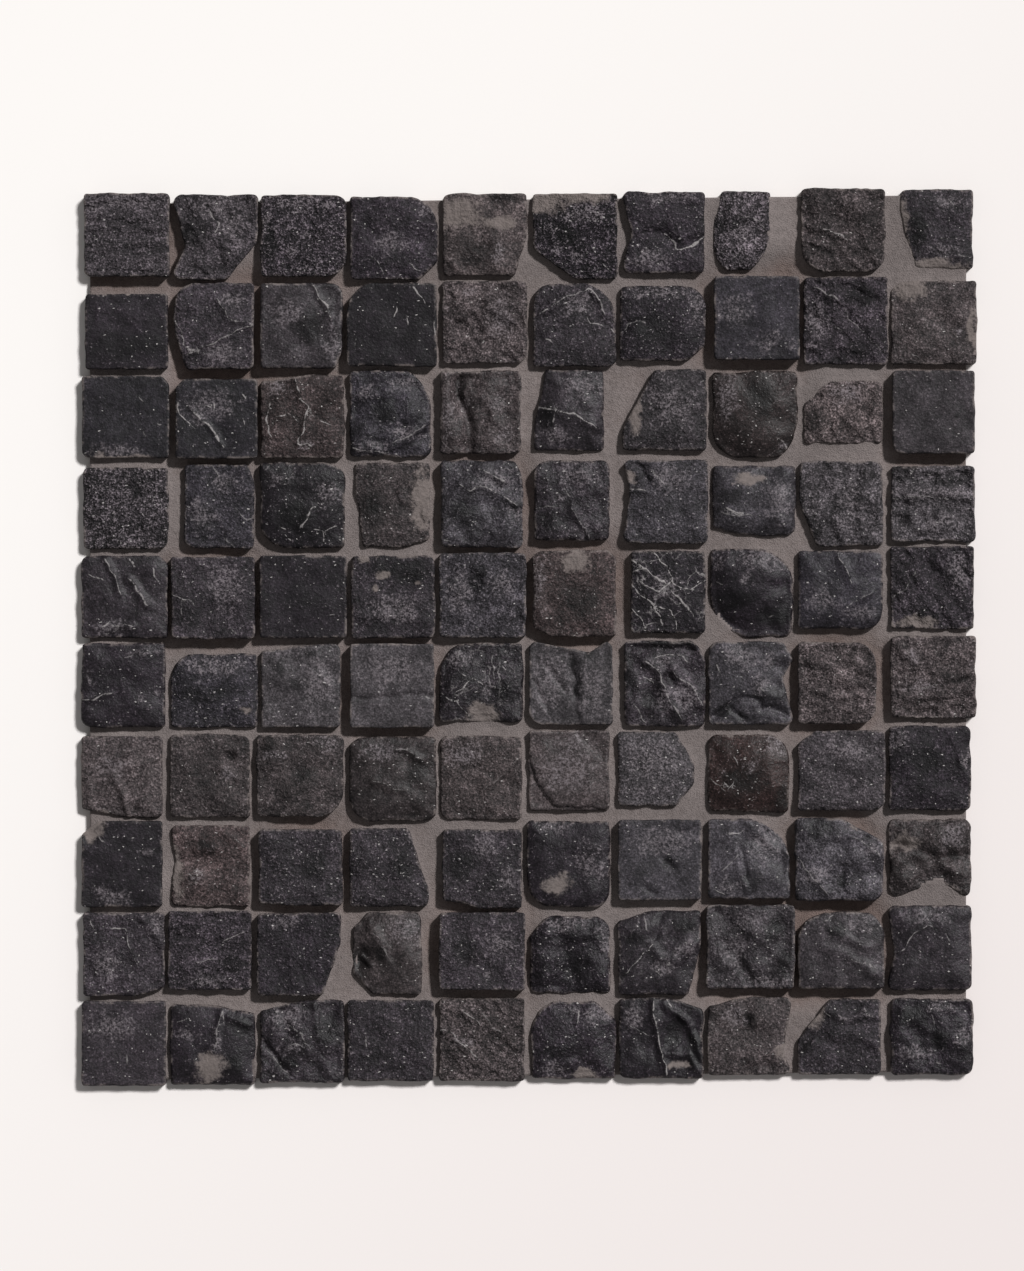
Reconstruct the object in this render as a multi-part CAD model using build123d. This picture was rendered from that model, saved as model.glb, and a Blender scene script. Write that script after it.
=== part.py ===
from build123d import *

import os
from dataclasses import dataclass
from enum import Enum

# A cobble mosaic tile: square stone blanks, tumbled until their edges and corners broke, then laid by hand
# in rows and bound by a bed of grout that stays below their tops.
# Millimetres, +Z up, origin in the middle of the sheet on its flat back. North is +Y and east is +X.

# Driving dimensions
PITCH = 30.0  # from one blank's centre to the next
JOINT = 1.6  # joint between two blanks that lost nothing
ROW_RISE = 0.3  # how far a row climbs to the north with each cobble to the east
THICKNESS = 8.5  # height of an average cobble above the back
EDGE_WEAR = 1.2  # bevel that tumbling left round each top
CORNER_WEAR = 1.5  # facet that tumbling left on each upright corner
BITE_LIP = 1.0  # length of a bitten side left whole at either end of the bite
GROUT_LEVEL = 4.5  # height of the grout above the back
GROUT_SETBACK = 2.4  # how far the bed stops short of the outermost blanks

# Values that follow from them
BLANK = PITCH - JOINT
TANGENT_BULGE = 0.414  # how far an arc that meets two equal legs smoothly reaches from its chord to the corner


class Side(Enum):
    """The four sides of a cobble."""

    WEST = "west"
    EAST = "east"
    NORTH = "north"
    SOUTH = "south"


INWARD = {
    Side.WEST: Vector(1, 0),
    Side.EAST: Vector(-1, 0),
    Side.NORTH: Vector(0, -1),
    Side.SOUTH: Vector(0, 1),
}


@dataclass(frozen=True)
class Chip:
    """A corner broken off straight: the shares lost of the cobble's level side and of its upright side."""

    level: float
    upright: float


@dataclass(frozen=True)
class Worn(Chip):
    """A corner worn to an arc between the same two points."""


@dataclass(frozen=True)
class Bite:
    """A hollow broken into one side: its place along the side, as a share from west or north, and its depth."""

    side: Side
    along: float
    depth: float


@dataclass(frozen=True)
class Cobble:
    """One cobble as laid.

    sides: how far its west, east, north and south sides stand in from the blank's, in millimetres, below 0
    where they stand out. nw, ne, sw, se: what its corners lost. rise: how much taller it is than average.
    """

    sides: tuple
    nw: Chip = None
    ne: Chip = None
    sw: Chip = None
    se: Chip = None
    bite: Bite = None
    rise: float = 0.0


# The sheet as laid, from the north row to the south row, and each row from west to east
PLAN = [
    [
        Cobble((0.5, -0.7, -1.0, 1.3), sw=Worn(0.08, 0.08), rise=1.0),
        Cobble((0.4, -0.3, -0.2, 0.0), se=Chip(0.37, 0.44), bite=Bite(Side.WEST, 0.6, 3.8)),
        Cobble((-0.3, -0.1, 0.2, 0.7), ne=Worn(0.12, 0.1), se=Worn(0.2, 0.25), rise=0.3),
        Cobble((-0.4, -0.8, 1.0, -0.4), ne=Worn(0.3, 0.38), se=Chip(0.22, 0.2), rise=0.5),
        Cobble((0.7, -0.5, 0.3, 0.3), nw=Worn(0.08, 0.08), se=Chip(0.15, 0.5)),
        Cobble((0.7, -0.8, 0.6, -1.2), sw=Chip(0.5, 0.35), se=Worn(0.08, 0.08), rise=0.2),
        Cobble((0.8, 0.0, 0.3, 0.7), bite=Bite(Side.WEST, 0.5, 3.0), rise=0.4),
        Cobble((1.2, 7.9, 0.4, 1.4), nw=Chip(0.15, 0.35), sw=Worn(0.2, 0.3), se=Worn(0.35, 0.45), rise=-0.8),
        Cobble((0.5, -0.6, -0.2, 0.6), sw=Worn(0.25, 0.3), se=Worn(0.2, 0.22)),
        Cobble((3.9, 0.0, 0.4, 1.3), sw=Chip(0.2, 0.7), rise=-0.8),
    ],
    [
        Cobble((0.8, -0.3, 2.8, 0.3), rise=0.3),
        Cobble((0.6, 0.9, -0.6, 0.1), nw=Worn(0.25, 0.25), sw=Chip(0.15, 0.42), rise=0.8),
        Cobble((-0.6, 1.4, -0.2, -0.2), ne=Worn(0.12, 0.12), se=Chip(0.08, 0.2), rise=0.6),
        Cobble((-1.6, -0.3, 0.0, 0.4), nw=Worn(0.27, 0.35), rise=0.5),
        Cobble((0.5, -0.6, -0.4, 1.1), se=Chip(0.12, 0.08)),
        Cobble((0.9, -0.5, 0.6, -0.3), nw=Worn(0.2, 0.22), ne=Worn(0.35, 0.45), se=Worn(0.1, 0.1), rise=0.2),
        Cobble((-0.1, -0.2, 1.8, 1.2), ne=Worn(0.2, 0.25), se=Chip(0.22, 0.2), rise=0.4),
        Cobble((1.5, -1.8, -1.2, 1.4), rise=1.2),
        Cobble((1.4, -1.3, -0.6, -0.5), rise=0.3),
        Cobble((0.7, -1.1, 1.0, -0.8), nw=Chip(0.12, 0.1), rise=-0.5),
    ],
    [
        Cobble((-0.3, -0.7, 0.3, 0.6), ne=Chip(0.08, 0.1), sw=Worn(0.08, 0.08)),
        Cobble((1.1, -0.3, 1.6, 0.1), nw=Chip(0.1, 0.1), rise=1.2),
        Cobble((-0.3, 0.7, 0.4, -0.1), nw=Chip(0.6, 0.08), rise=0.4),
        Cobble((-0.6, 1.6, -0.5, 0.0), ne=Worn(0.28, 0.42), se=Worn(0.1, 0.1), rise=0.3),
        Cobble((-0.4, 1.5, -0.4, 0.8), rise=0.6),
        Cobble((1.0, 3.7, -0.4, 1.5), nw=Chip(0.18, 0.75), rise=0.3),
        Cobble((0.6, -0.7, -0.2, 1.5), nw=Chip(0.38, 0.75), rise=0.3),
        Cobble((0.9, -1.2, 0.8, -1.4), sw=Worn(0.25, 0.28), se=Worn(0.22, 0.42), rise=0.4),
        Cobble((1.5, 0.4, 3.9, 3.1), nw=Chip(0.32, 0.38), ne=Worn(0.12, 0.12), rise=-1.0),
        Cobble((1.2, -0.4, 1.1, -0.6), sw=Worn(0.1, 0.1), rise=1.3),
    ],
    [
        Cobble((0.2, -0.4, 0.9, 0.2), se=Worn(0.12, 0.12), rise=-0.3),
        Cobble((4.0, 0.8, 0.2, 0.0), ne=Chip(0.1, 0.2), sw=Chip(0.1, 0.06)),
        Cobble((-0.6, 0.4, -0.1, -0.2), ne=Worn(0.2, 0.22), sw=Worn(0.3, 0.25), rise=0.6),
        Cobble((1.2, 1.9, 0.1, -0.2), sw=Chip(0.1, 0.7), se=Chip(0.3, 0.1), rise=-0.7),
        Cobble((0.0, 0.7, -0.2, -0.7), ne=Chip(0.1, 0.2), rise=1.4),
        Cobble((1.2, 1.7, -0.1, 1.5), nw=Worn(0.2, 0.2), ne=Worn(0.12, 0.12), rise=0.3),
        Cobble((1.2, -1.1, 0.1, 0.2), bite=Bite(Side.WEST, 0.35, 2.0), rise=0.5),
        Cobble((0.9, -0.6, 2.3, 2.4), sw=Chip(0.35, 0.12), se=Chip(0.08, 0.08)),
        Cobble((0.3, 0.2, 1.1, -1.4), ne=Worn(0.1, 0.1), sw=Chip(0.2, 0.5)),
        Cobble((0.8, -0.6, 3.0, 0.0), rise=0.3),
    ],
    [
        Cobble((-0.5, -0.2, 0.4, 0.3), nw=Worn(0.08, 0.08), ne=Chip(0.1, 0.1), rise=-0.2),
        Cobble((-0.4, 0.6, 1.0, -0.2), rise=1.3),
        Cobble((-0.7, -0.1, 1.0, -0.3), rise=0.6),
        Cobble((0.0, 0.4, 1.3, -0.7), ne=Worn(0.1, 0.1), rise=0.3),
        Cobble((-0.6, -0.3, 0.7, -0.8), rise=0.5),
        Cobble((0.7, -0.4, 0.1, -0.8), nw=Worn(0.12, 0.12), ne=Chip(0.1, 0.08), sw=Chip(0.25, 0.1), rise=1.2),
        Cobble((3.6, -0.4, 0.6, 0.2), rise=0.2),
        Cobble((0.1, 0.4, 0.0, -1.5), ne=Worn(0.45, 0.35), sw=Worn(0.42, 0.45), se=Worn(0.1, 0.12), rise=0.2),
        Cobble((-0.5, 0.2, 1.2, 1.0), ne=Worn(0.08, 0.08), se=Worn(0.2, 0.25), rise=0.3),
        Cobble((0.5, -0.2, 0.0, 0.7), rise=-0.5),
    ],
    [
        Cobble((-0.5, 0.6, -0.4, 0.4), sw=Worn(0.13, 0.13), rise=0.4),
        Cobble((-0.6, -0.4, 3.6, 0.0), nw=Worn(0.2, 0.32), rise=-0.4),
        Cobble((-0.2, 1.9, 0.4, -0.3), nw=Chip(0.8, 0.08)),
        Cobble((-0.5, 0.6, 0.8, -0.6), rise=0.9),
        Cobble((-0.5, 0.7, 0.9, 0.9), nw=Worn(0.25, 0.35), rise=-0.4),
        Cobble((-0.5, 0.8, 0.8, -0.3), sw=Worn(0.12, 0.15), bite=Bite(Side.NORTH, 0.72, 3.5), rise=-0.2),
        Cobble((1.2, -0.2, 0.7, -1.1), ne=Chip(0.15, 0.2), rise=0.3),
        Cobble((-0.4, 0.4, 1.2, -0.9), nw=Worn(0.12, 0.12), ne=Chip(0.13, 0.2), bite=Bite(Side.EAST, 0.42, 3.5),
               rise=0.5),
        Cobble((-0.5, 2.4, 1.6, -0.7), ne=Worn(0.25, 0.28), se=Worn(0.15, 0.2), rise=0.9),
        Cobble((0.5, -0.9, 0.0, 0.8), rise=0.5),
    ],
    [
        Cobble((-0.6, 1.6, 0.8, 0.2), sw=Chip(0.55, 0.1), rise=-0.4),
        Cobble((-0.7, 2.4, 0.4, -0.1), ne=Chip(0.08, 0.08), rise=-0.1),
        Cobble((-1.8, 0.9, 0.9, -0.1), ne=Worn(0.1, 0.1), se=Worn(0.3, 0.28), rise=0.2),
        Cobble((-0.7, -0.1, 2.0, -2.0), nw=Chip(0.1, 0.1), sw=Worn(0.25, 0.25), se=Worn(0.1, 0.1), rise=0.5),
        Cobble((-0.2, 1.2, 2.0, -1.7), nw=Worn(0.08, 0.08), sw=Worn(0.12, 0.12), rise=-0.6),
        Cobble((-0.7, 1.9, 0.3, 1.0), rise=-0.2),
        Cobble((-0.8, 3.2, 1.1, 2.2), ne=Chip(0.25, 0.45), se=Chip(0.25, 0.3), rise=-0.6),
        Cobble((-0.6, 1.8, 2.4, 0.0), nw=Worn(0.12, 0.12), ne=Worn(0.2, 0.28), sw=Worn(0.1, 0.12), rise=0.5),
        Cobble((-0.4, -0.5, 1.2, 0.1), nw=Chip(0.2, 0.17), se=Chip(0.1, 0.08), rise=0.2),
        Cobble((-0.1, 0.8, 0.0, -0.1), ne=Worn(0.1, 0.1), se=Worn(0.08, 0.08), rise=0.4),
    ],
    [
        Cobble((-0.3, 1.6, -0.7, 0.2), nw=Chip(0.2, 0.15)),
        Cobble((-0.5, 2.2, 1.0, 0.0), bite=Bite(Side.WEST, 0.4, 1.5), rise=-0.7),
        Cobble((-1.1, 1.2, 2.7, 0.3), rise=0.9),
        Cobble((-0.7, 2.4, 2.6, -0.6), ne=Chip(0.25, 0.8), rise=0.2),
        Cobble((0.5, 1.2, 3.3, -1.5), sw=Chip(0.5, 0.12), rise=0.4),
        Cobble((-1.2, 1.7, 0.7, -1.3), sw=Worn(0.25, 0.3), se=Worn(0.18, 0.18), rise=0.3),
        Cobble((-0.7, 1.1, 0.7, 0.8), rise=0.7),
        Cobble((-0.6, 1.4, 0.5, 0.9), ne=Worn(0.55, 0.5), rise=0.5),
        Cobble((-1.4, -0.1, 0.7, -0.3), ne=Chip(0.47, 0.28), se=Worn(0.15, 0.15), rise=1.1),
        Cobble((0.0, 0.5, 1.3, 0.8), ne=Worn(0.1, 0.1), bite=Bite(Side.SOUTH, 0.62, 5.5), rise=-0.6),
    ],
    [
        Cobble((0.2, 0.8, -0.1, 0.4), se=Chip(0.35, 0.1)),
        Cobble((-1.4, 1.8, -0.3, 2.2), rise=0.3),
        Cobble((-1.7, 1.8, 0.7, -0.1), se=Chip(0.22, 0.65), rise=0.7),
        Cobble((0.5, 4.7, 0.7, 0.0), nw=Chip(0.22, 0.2), ne=Worn(0.1, 0.1), sw=Chip(0.3, 0.25), rise=-0.2),
        Cobble((-0.7, 0.0, 1.0, 1.3), rise=1.2),
        Cobble((-0.3, 1.5, 2.6, -0.3), nw=Worn(0.25, 0.35), ne=Worn(0.22, 0.22), rise=-0.2),
        Cobble((-0.7, 1.2, 1.1, -1.1), nw=Chip(0.4, 0.12), se=Chip(0.15, 0.6), rise=0.3),
        Cobble((-1.1, -0.1, -0.5, 0.7), rise=1.1),
        Cobble((-0.5, -0.3, 2.2, 0.5), nw=Worn(0.35, 0.3), ne=Worn(0.15, 0.3), rise=1.2),
        Cobble((-0.3, 0.5, 0.2, -0.3), se=Worn(0.08, 0.08), bite=Bite(Side.WEST, 0.57, 2.0), rise=0.2),
    ],
    [
        Cobble((-0.3, 0.4, -0.4, 0.3), rise=-0.2),
        Cobble((-0.7, 0.5, 1.1, 0.3), ne=Chip(0.5, 0.1)),
        Cobble((-0.7, 0.7, -0.2, 0.7), nw=Chip(0.55, 0.12)),
        Cobble((-1.4, 0.6, 0.1, 1.0), rise=0.2),
        Cobble((-0.5, 0.3, -0.2, 0.7), rise=-0.3),
        Cobble((0.2, -0.2, 1.2, 1.1), nw=Worn(0.28, 0.37), ne=Chip(0.25, 0.22), rise=-0.1),
        Cobble((-0.4, 0.5, 0.4, 1.0), ne=Chip(0.4, 0.13), sw=Worn(0.1, 0.1), rise=0.2),
        Cobble((-0.7, 0.9, 0.4, 1.8), nw=Chip(0.5, 0.1), bite=Bite(Side.EAST, 0.7, 3.0)),
        Cobble((-0.6, 0.9, 1.2, 1.6), nw=Chip(0.38, 0.55), se=Worn(0.08, 0.08)),
        Cobble((0.5, 0.0, 1.4, 1.3), se=Worn(0.1, 0.1), rise=0.2),
    ],
]
ROWS = len(PLAN)
COLUMNS = len(PLAN[0])


def blank_centre(row, column):
    """Where a blank's centre lies on the sheet."""
    steps_east = column - (COLUMNS - 1) / 2
    steps_north = (ROWS - 1) / 2 - row
    return Vector(steps_east * PITCH, steps_north * PITCH + steps_east * ROW_RISE)


def corner_ends(corner, lost, to_level, to_upright):
    """The points on a corner's level and upright sides between which it was lost.

    to_level and to_upright run from the corner along the cobble's two sides there.
    """
    if lost is None:
        return corner + to_level.normalized() * CORNER_WEAR, corner + to_upright.normalized() * CORNER_WEAR
    return corner + to_level * lost.level, corner + to_upright * lost.upright


def corner_edge(corner, start, end, lost):
    """The facet or arc left where a corner was lost. Unequal legs give a flatter arc."""
    if not isinstance(lost, Worn):
        return Line(start, end)
    legs = sorted(((start - corner).length, (end - corner).length))
    chord_middle = (start + end) / 2
    return ThreePointArc(start, chord_middle + (corner - chord_middle) * TANGENT_BULGE * legs[0] / legs[1], end)


def corner_points(row, column):
    """The corners of a cobble's square plan on the sheet: north-west, north-east, south-west, south-east."""
    west, east, north, south = PLAN[row][column].sides
    centre = blank_centre(row, column)
    nw = centre + Vector(west - BLANK / 2, BLANK / 2 - north)
    se = centre + Vector(BLANK / 2 - east, south - BLANK / 2)
    return nw, Vector(se.X, nw.Y), Vector(nw.X, se.Y), se


def side_ends(row, column):
    """The ends of each side between a cobble's lost corners, from west or from north."""
    cobble = PLAN[row][column]
    nw, ne, sw, se = corner_points(row, column)
    eastward, southward = ne - nw, sw - nw
    nw_level, nw_upright = corner_ends(nw, cobble.nw, eastward, southward)
    ne_level, ne_upright = corner_ends(ne, cobble.ne, -eastward, southward)
    sw_level, sw_upright = corner_ends(sw, cobble.sw, eastward, -southward)
    se_level, se_upright = corner_ends(se, cobble.se, -eastward, -southward)
    return {
        Side.WEST: (nw_upright, sw_upright),
        Side.EAST: (ne_upright, se_upright),
        Side.NORTH: (nw_level, ne_level),
        Side.SOUTH: (sw_level, se_level),
    }


def worn_plan(row, column):
    """The plan of one cobble with its lost corners, drawn counter-clockwise from its west side."""
    cobble = PLAN[row][column]
    nw, ne, sw, se = corner_points(row, column)
    ends = side_ends(row, column)
    west, east, north, south = (ends[side] for side in Side)
    edges = [
        Line(west[0], west[1]),
        corner_edge(sw, west[1], south[0], cobble.sw),
        Line(south[0], south[1]),
        corner_edge(se, south[1], east[1], cobble.se),
        Line(east[1], east[0]),
        corner_edge(ne, east[0], north[1], cobble.ne),
        Line(north[1], north[0]),
        corner_edge(nw, north[0], west[0], cobble.nw),
    ]
    return make_face(edges)


def bite_wedge(row, column):
    """The wedge that a bite takes out of a side. Its mouth spans the side but for a lip at either end."""
    bite = PLAN[row][column].bite
    start, end = side_ends(row, column)[bite.side]
    along = (end - start).normalized()
    nw, ne, sw, se = corner_points(row, column)
    low, high = {Side.WEST: (nw, sw), Side.EAST: (ne, se), Side.NORTH: (nw, ne), Side.SOUTH: (sw, se)}[bite.side]
    hollow = low + (high - low) * bite.along + INWARD[bite.side] * bite.depth
    mouth = [start + along * BITE_LIP, end - along * BITE_LIP]
    outside = [hollow + (point - hollow) * 1.5 for point in mouth]
    return make_face(Polyline(hollow, *outside, close=True).edges())


def make_cobble(row, column):
    """One cobble: its plan carried up to its own height with a worn bevel round its top, less any bite."""
    shoulder = THICKNESS + PLAN[row][column].rise - EDGE_WEAR
    plan = worn_plan(row, column)
    crown = extrude(Pos(0, 0, shoulder) * plan, EDGE_WEAR, taper=45)
    cobble = extrude(plan, shoulder) + crown
    if PLAN[row][column].bite is not None:
        cobble -= extrude(bite_wedge(row, column), shoulder + EDGE_WEAR, dir=(0, 0, 1))
    return cobble


def pocket_plan(row, column):
    """The plan of the pocket that a cobble leaves in the bed: the cobble's own, with any bite filled by grout."""
    plan = worn_plan(row, column)
    if PLAN[row][column].bite is not None:
        plan -= bite_wedge(row, column)
    return plan


def make_grout():
    """The bed: it fills every joint down to the back and stops just inside the outermost cobbles."""
    reach = BLANK / 2 - GROUT_SETBACK
    corners = [
        blank_centre(0, 0) + Vector(-reach, reach),
        blank_centre(ROWS - 1, 0) + Vector(-reach, -reach),
        blank_centre(ROWS - 1, COLUMNS - 1) + Vector(reach, -reach),
        blank_centre(0, COLUMNS - 1) + Vector(reach, reach),
    ]
    bed = make_face(Polyline(*corners, close=True).edges())
    pockets = [pocket_plan(row, column) for row in range(ROWS) for column in range(COLUMNS)]
    return extrude(bed - pockets, GROUT_LEVEL)


os.makedirs("parts", exist_ok=True)
for row in range(ROWS):
    cobbles = [make_cobble(row, column) for column in range(COLUMNS)]
    export_step(Compound(children=cobbles), f"parts/cobble_row_{row + 1:02d}.step")
export_step(make_grout(), "parts/grout.step")
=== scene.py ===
"""Looks of the cobble mosaic tile: a hundred tumbled cobbles in ten rows, bedded in sandy taupe grout."""

import logging
import math
from dataclasses import dataclass, field
from enum import Enum

import bmesh
import bpy
import numpy as np
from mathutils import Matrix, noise


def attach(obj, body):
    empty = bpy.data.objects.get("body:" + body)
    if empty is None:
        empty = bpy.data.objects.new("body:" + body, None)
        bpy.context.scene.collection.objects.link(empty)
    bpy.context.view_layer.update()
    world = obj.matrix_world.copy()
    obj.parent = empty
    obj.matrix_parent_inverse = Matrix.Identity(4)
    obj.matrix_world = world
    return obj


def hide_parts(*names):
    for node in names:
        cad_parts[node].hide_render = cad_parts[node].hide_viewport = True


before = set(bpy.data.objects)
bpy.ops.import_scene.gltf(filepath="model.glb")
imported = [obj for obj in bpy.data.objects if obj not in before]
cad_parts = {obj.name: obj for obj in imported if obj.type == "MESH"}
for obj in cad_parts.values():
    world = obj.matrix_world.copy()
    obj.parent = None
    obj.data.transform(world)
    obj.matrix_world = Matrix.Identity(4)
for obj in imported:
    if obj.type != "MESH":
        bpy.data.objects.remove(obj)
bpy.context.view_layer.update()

LOG = logging.getLogger("cobble_mosaic")

MM = 0.001  # metres in a millimetre; shapes are worked out in millimetres
PITCH = 30.0  # spacing of the cobbles
ROW_RISE = 0.3  # climb of a row with each cobble to the east
COUNT = 10  # rows, and cobbles in a row
CELL = 100  # parts of a cell's side that marks are placed by
WELD = 1e-6  # distance in metres within which points are one


def linear(red: float, green: float, blue: float) -> tuple[float, float, float]:
    """A colour as scene light, from its display values of 0 to 255."""
    return tuple((c / 255 / 12.92) if c <= 10.3 else ((c / 255 + 0.055) / 1.055) ** 2.4 for c in (red, green, blue))


# ---------------------------------------------------------------- what each cobble looks like


class Tone(Enum):
    """The stone's own colour."""

    BLACK = linear(46.5, 39.8, 46.5)
    CHARCOAL = linear(57, 50.5, 56)
    BLUE = linear(58, 53.5, 60.5)
    STEEL = linear(72, 67.5, 73)
    GREY = linear(68, 62, 66)
    ASH = linear(84, 78.5, 82)
    OLIVE = linear(71, 63.2, 64)
    BROWN = linear(67.5, 56.5, 56.5)
    RUST = linear(65, 48.5, 47)
    TAUPE = linear(80.5, 71.3, 71.5)


class Shade(Enum):
    """How light a cobble is beside the others of its tone, in stops."""

    DEEP = -0.65
    DIM = -0.25
    PLAIN = 0.1
    LIGHT = 0.45
    PALE = 0.8


@dataclass(frozen=True)
class Surface:
    """How rough a cobble's face is.

    Attributes:
        swell: height of its broad swells, in millimetres.
        pits: height of its fine pits and bumps.
        coarse: how grainy it is, from 0 to 1.
        satin: how smooth it has worn, from 0 to 1.
        wear: rounding of its edges.
        crown: how far its middle stands above its edges.
        eased: how often its outline's corners are rounded off.
        cleft: height of its split crests.
        ripple: height of its layers' edges.
    """

    swell: float
    pits: float
    coarse: float
    satin: float
    wear: float
    crown: float
    eased: int
    cleft: float = 0.0
    ripple: float = 0.0


class Grain(Enum):
    """The ways that a cobble's face came out of the tumbler."""

    FLAT = Surface(swell=0.4, pits=0.06, coarse=0.12, satin=0.75, wear=0.4, crown=0.2, eased=1)
    SMOOTH = Surface(swell=0.8, pits=0.1, coarse=0.15, satin=0.9, wear=0.6, crown=1.8, eased=2)
    LUMPY = Surface(swell=1.8, pits=0.24, coarse=0.3, satin=0.85, wear=0.7, crown=1.6, eased=3, cleft=0.35)
    FINE = Surface(swell=0.9, pits=0.18, coarse=0.36, satin=0.5, wear=0.55, crown=0.9, eased=2, cleft=0.1)
    COARSE = Surface(swell=0.9, pits=0.35, coarse=0.85, satin=0.2, wear=0.5, crown=0.9, eased=2, cleft=0.2)
    CLEFT = Surface(swell=1.1, pits=0.35, coarse=0.5, satin=0.2, wear=0.6, crown=0.8, eased=2, cleft=1.5)
    RIPPLED = Surface(
        swell=0.6, pits=0.25, coarse=0.55, satin=0.25, wear=0.5, crown=0.4, eased=1, cleft=0.2, ripple=0.9
    )


class Mark(Enum):
    """What shows on a cobble in patches, painted sheens and painted shade among them."""

    FILM = "film"  # grout left on the face
    PALE_AND_SHEEN = "pale_and_sheen"  # pale mineral, and in places a painted sheen
    DARK = "dark_and_shade"  # stone that looks damp and darker, and in places painted shade


@dataclass(frozen=True)
class Ridge:
    """A crest, or a groove where its height is below 0.

    Attributes:
        points: where it runs, in hundredths of the cell from its west and north edges.
        width: its half width, in millimetres.
        height: its height, in millimetres.
    """

    points: tuple[tuple[float, float], ...]
    width: float
    height: float


@dataclass(frozen=True)
class Vein:
    """A pale line through the stone.

    Attributes:
        points: where it runs, as a ridge's.
        strength: how strongly it shows, from 0 to 1.
        wide: its width beside a plain vein's.
        crest: the crest that it stands up in, if any.
    """

    points: tuple[tuple[float, float], ...]
    strength: float
    wide: float
    crest: Ridge | None


@dataclass(frozen=True)
class Stain:
    """An oval patch: its kind, its middle and its half widths, in hundredths of the cell."""

    mark: Mark
    u: float
    v: float
    ru: float
    rv: float


@dataclass(frozen=True)
class Dent:
    """A hollow or a knocked-off corner: middle and reach in hundredths of the cell, depth in millimetres."""

    u: float
    v: float
    reach: float
    depth: float


@dataclass(frozen=True)
class Ledge:
    """A step along points given as a ridge's: the stone to the left of the line is lower, by millimetres."""

    points: tuple[tuple[float, float], ...]
    step: float


@dataclass(frozen=True)
class Look:
    """One cobble's stone.

    Attributes:
        tone: the stone's colour.
        grain: its kind of face.
        shade: how light it is for its tone.
        specks: share of the face's grains that are white.
        veins: pale lines through it.
        stains: patches on its face: grout film, pale mineral and darker stone, with painted sheens and painted shade
            among them.
        dents: hollows and rises of its face.
        ledges: steps in its face.
        ridges: crests and grooves of its face, beside those of its veins.
        lay: direction of its layers, in degrees from east.
        bands: how strongly the layers colour it.
        bank: how far the grout climbs its sides, in millimetres.
        crown: how high its middle stands, beside others of its grain.
        web: how strongly a net of fine veins shows.
    """

    tone: Tone
    grain: Grain
    shade: Shade
    specks: float
    veins: tuple[Vein, ...] = ()
    stains: tuple[Stain, ...] = ()
    dents: tuple[Dent, ...] = ()
    ledges: tuple[Ledge, ...] = ()
    ridges: tuple[Ridge, ...] = ()
    lay: float = 0.0
    bands: float = 0.0
    bank: float = 1.3
    crown: float = 1.0
    web: float = 0.0


def pairs(shares: tuple[float, ...]) -> tuple[tuple[float, float], ...]:
    """Points from numbers given as u, v, u, v and so on."""
    return tuple(zip(shares[::2], shares[1::2]))


def vein(*shares: float, strength: float = 0.5, wide: float = 1.0, crest: tuple[float, float] | None = None) -> Vein:
    """A vein through points given as pairs takes them, with the width and height of its crest, if any."""
    points = pairs(shares)
    return Vein(points, strength, wide, Ridge(points, *crest) if crest else None)


def ridge(*shares: float, width: float = 1.2, height: float = 0.6) -> Ridge:
    """A crest through points given as pairs takes them."""
    return Ridge(pairs(shares), width, height)


def ledge(*shares: float, step: float) -> Ledge:
    """A step along points given as pairs takes them."""
    return Ledge(pairs(shares), step)


def hill(u: float, v: float, reach: float, height: float) -> Dent:
    """A rounded rise."""
    return Dent(u, v, reach, -height)


def film(u: float, v: float, ru: float, rv: float) -> Stain:
    """A patch of grout left on the face."""
    return Stain(Mark.FILM, u, v, ru, rv)


def pale_and_sheen(u: float, v: float, ru: float, rv: float) -> Stain:
    """A patch of pale mineral in some places, a painted sheen in others."""
    return Stain(Mark.PALE_AND_SHEEN, u, v, ru, rv)


def dark_and_shade(u: float, v: float, ru: float, rv: float) -> Stain:
    """A patch of darker stone in some places, of painted shade in others."""
    return Stain(Mark.DARK, u, v, ru, rv)


BLACK, CHARCOAL, BLUE, STEEL, GREY, ASH, OLIVE, BROWN, RUST, TAUPE = Tone
FLAT, SMOOTH, LUMPY, FINE, COARSE, CLEFT, RIPPLED = Grain
DEEP, DIM, PLAIN, LIGHT, PALE = Shade

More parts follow.
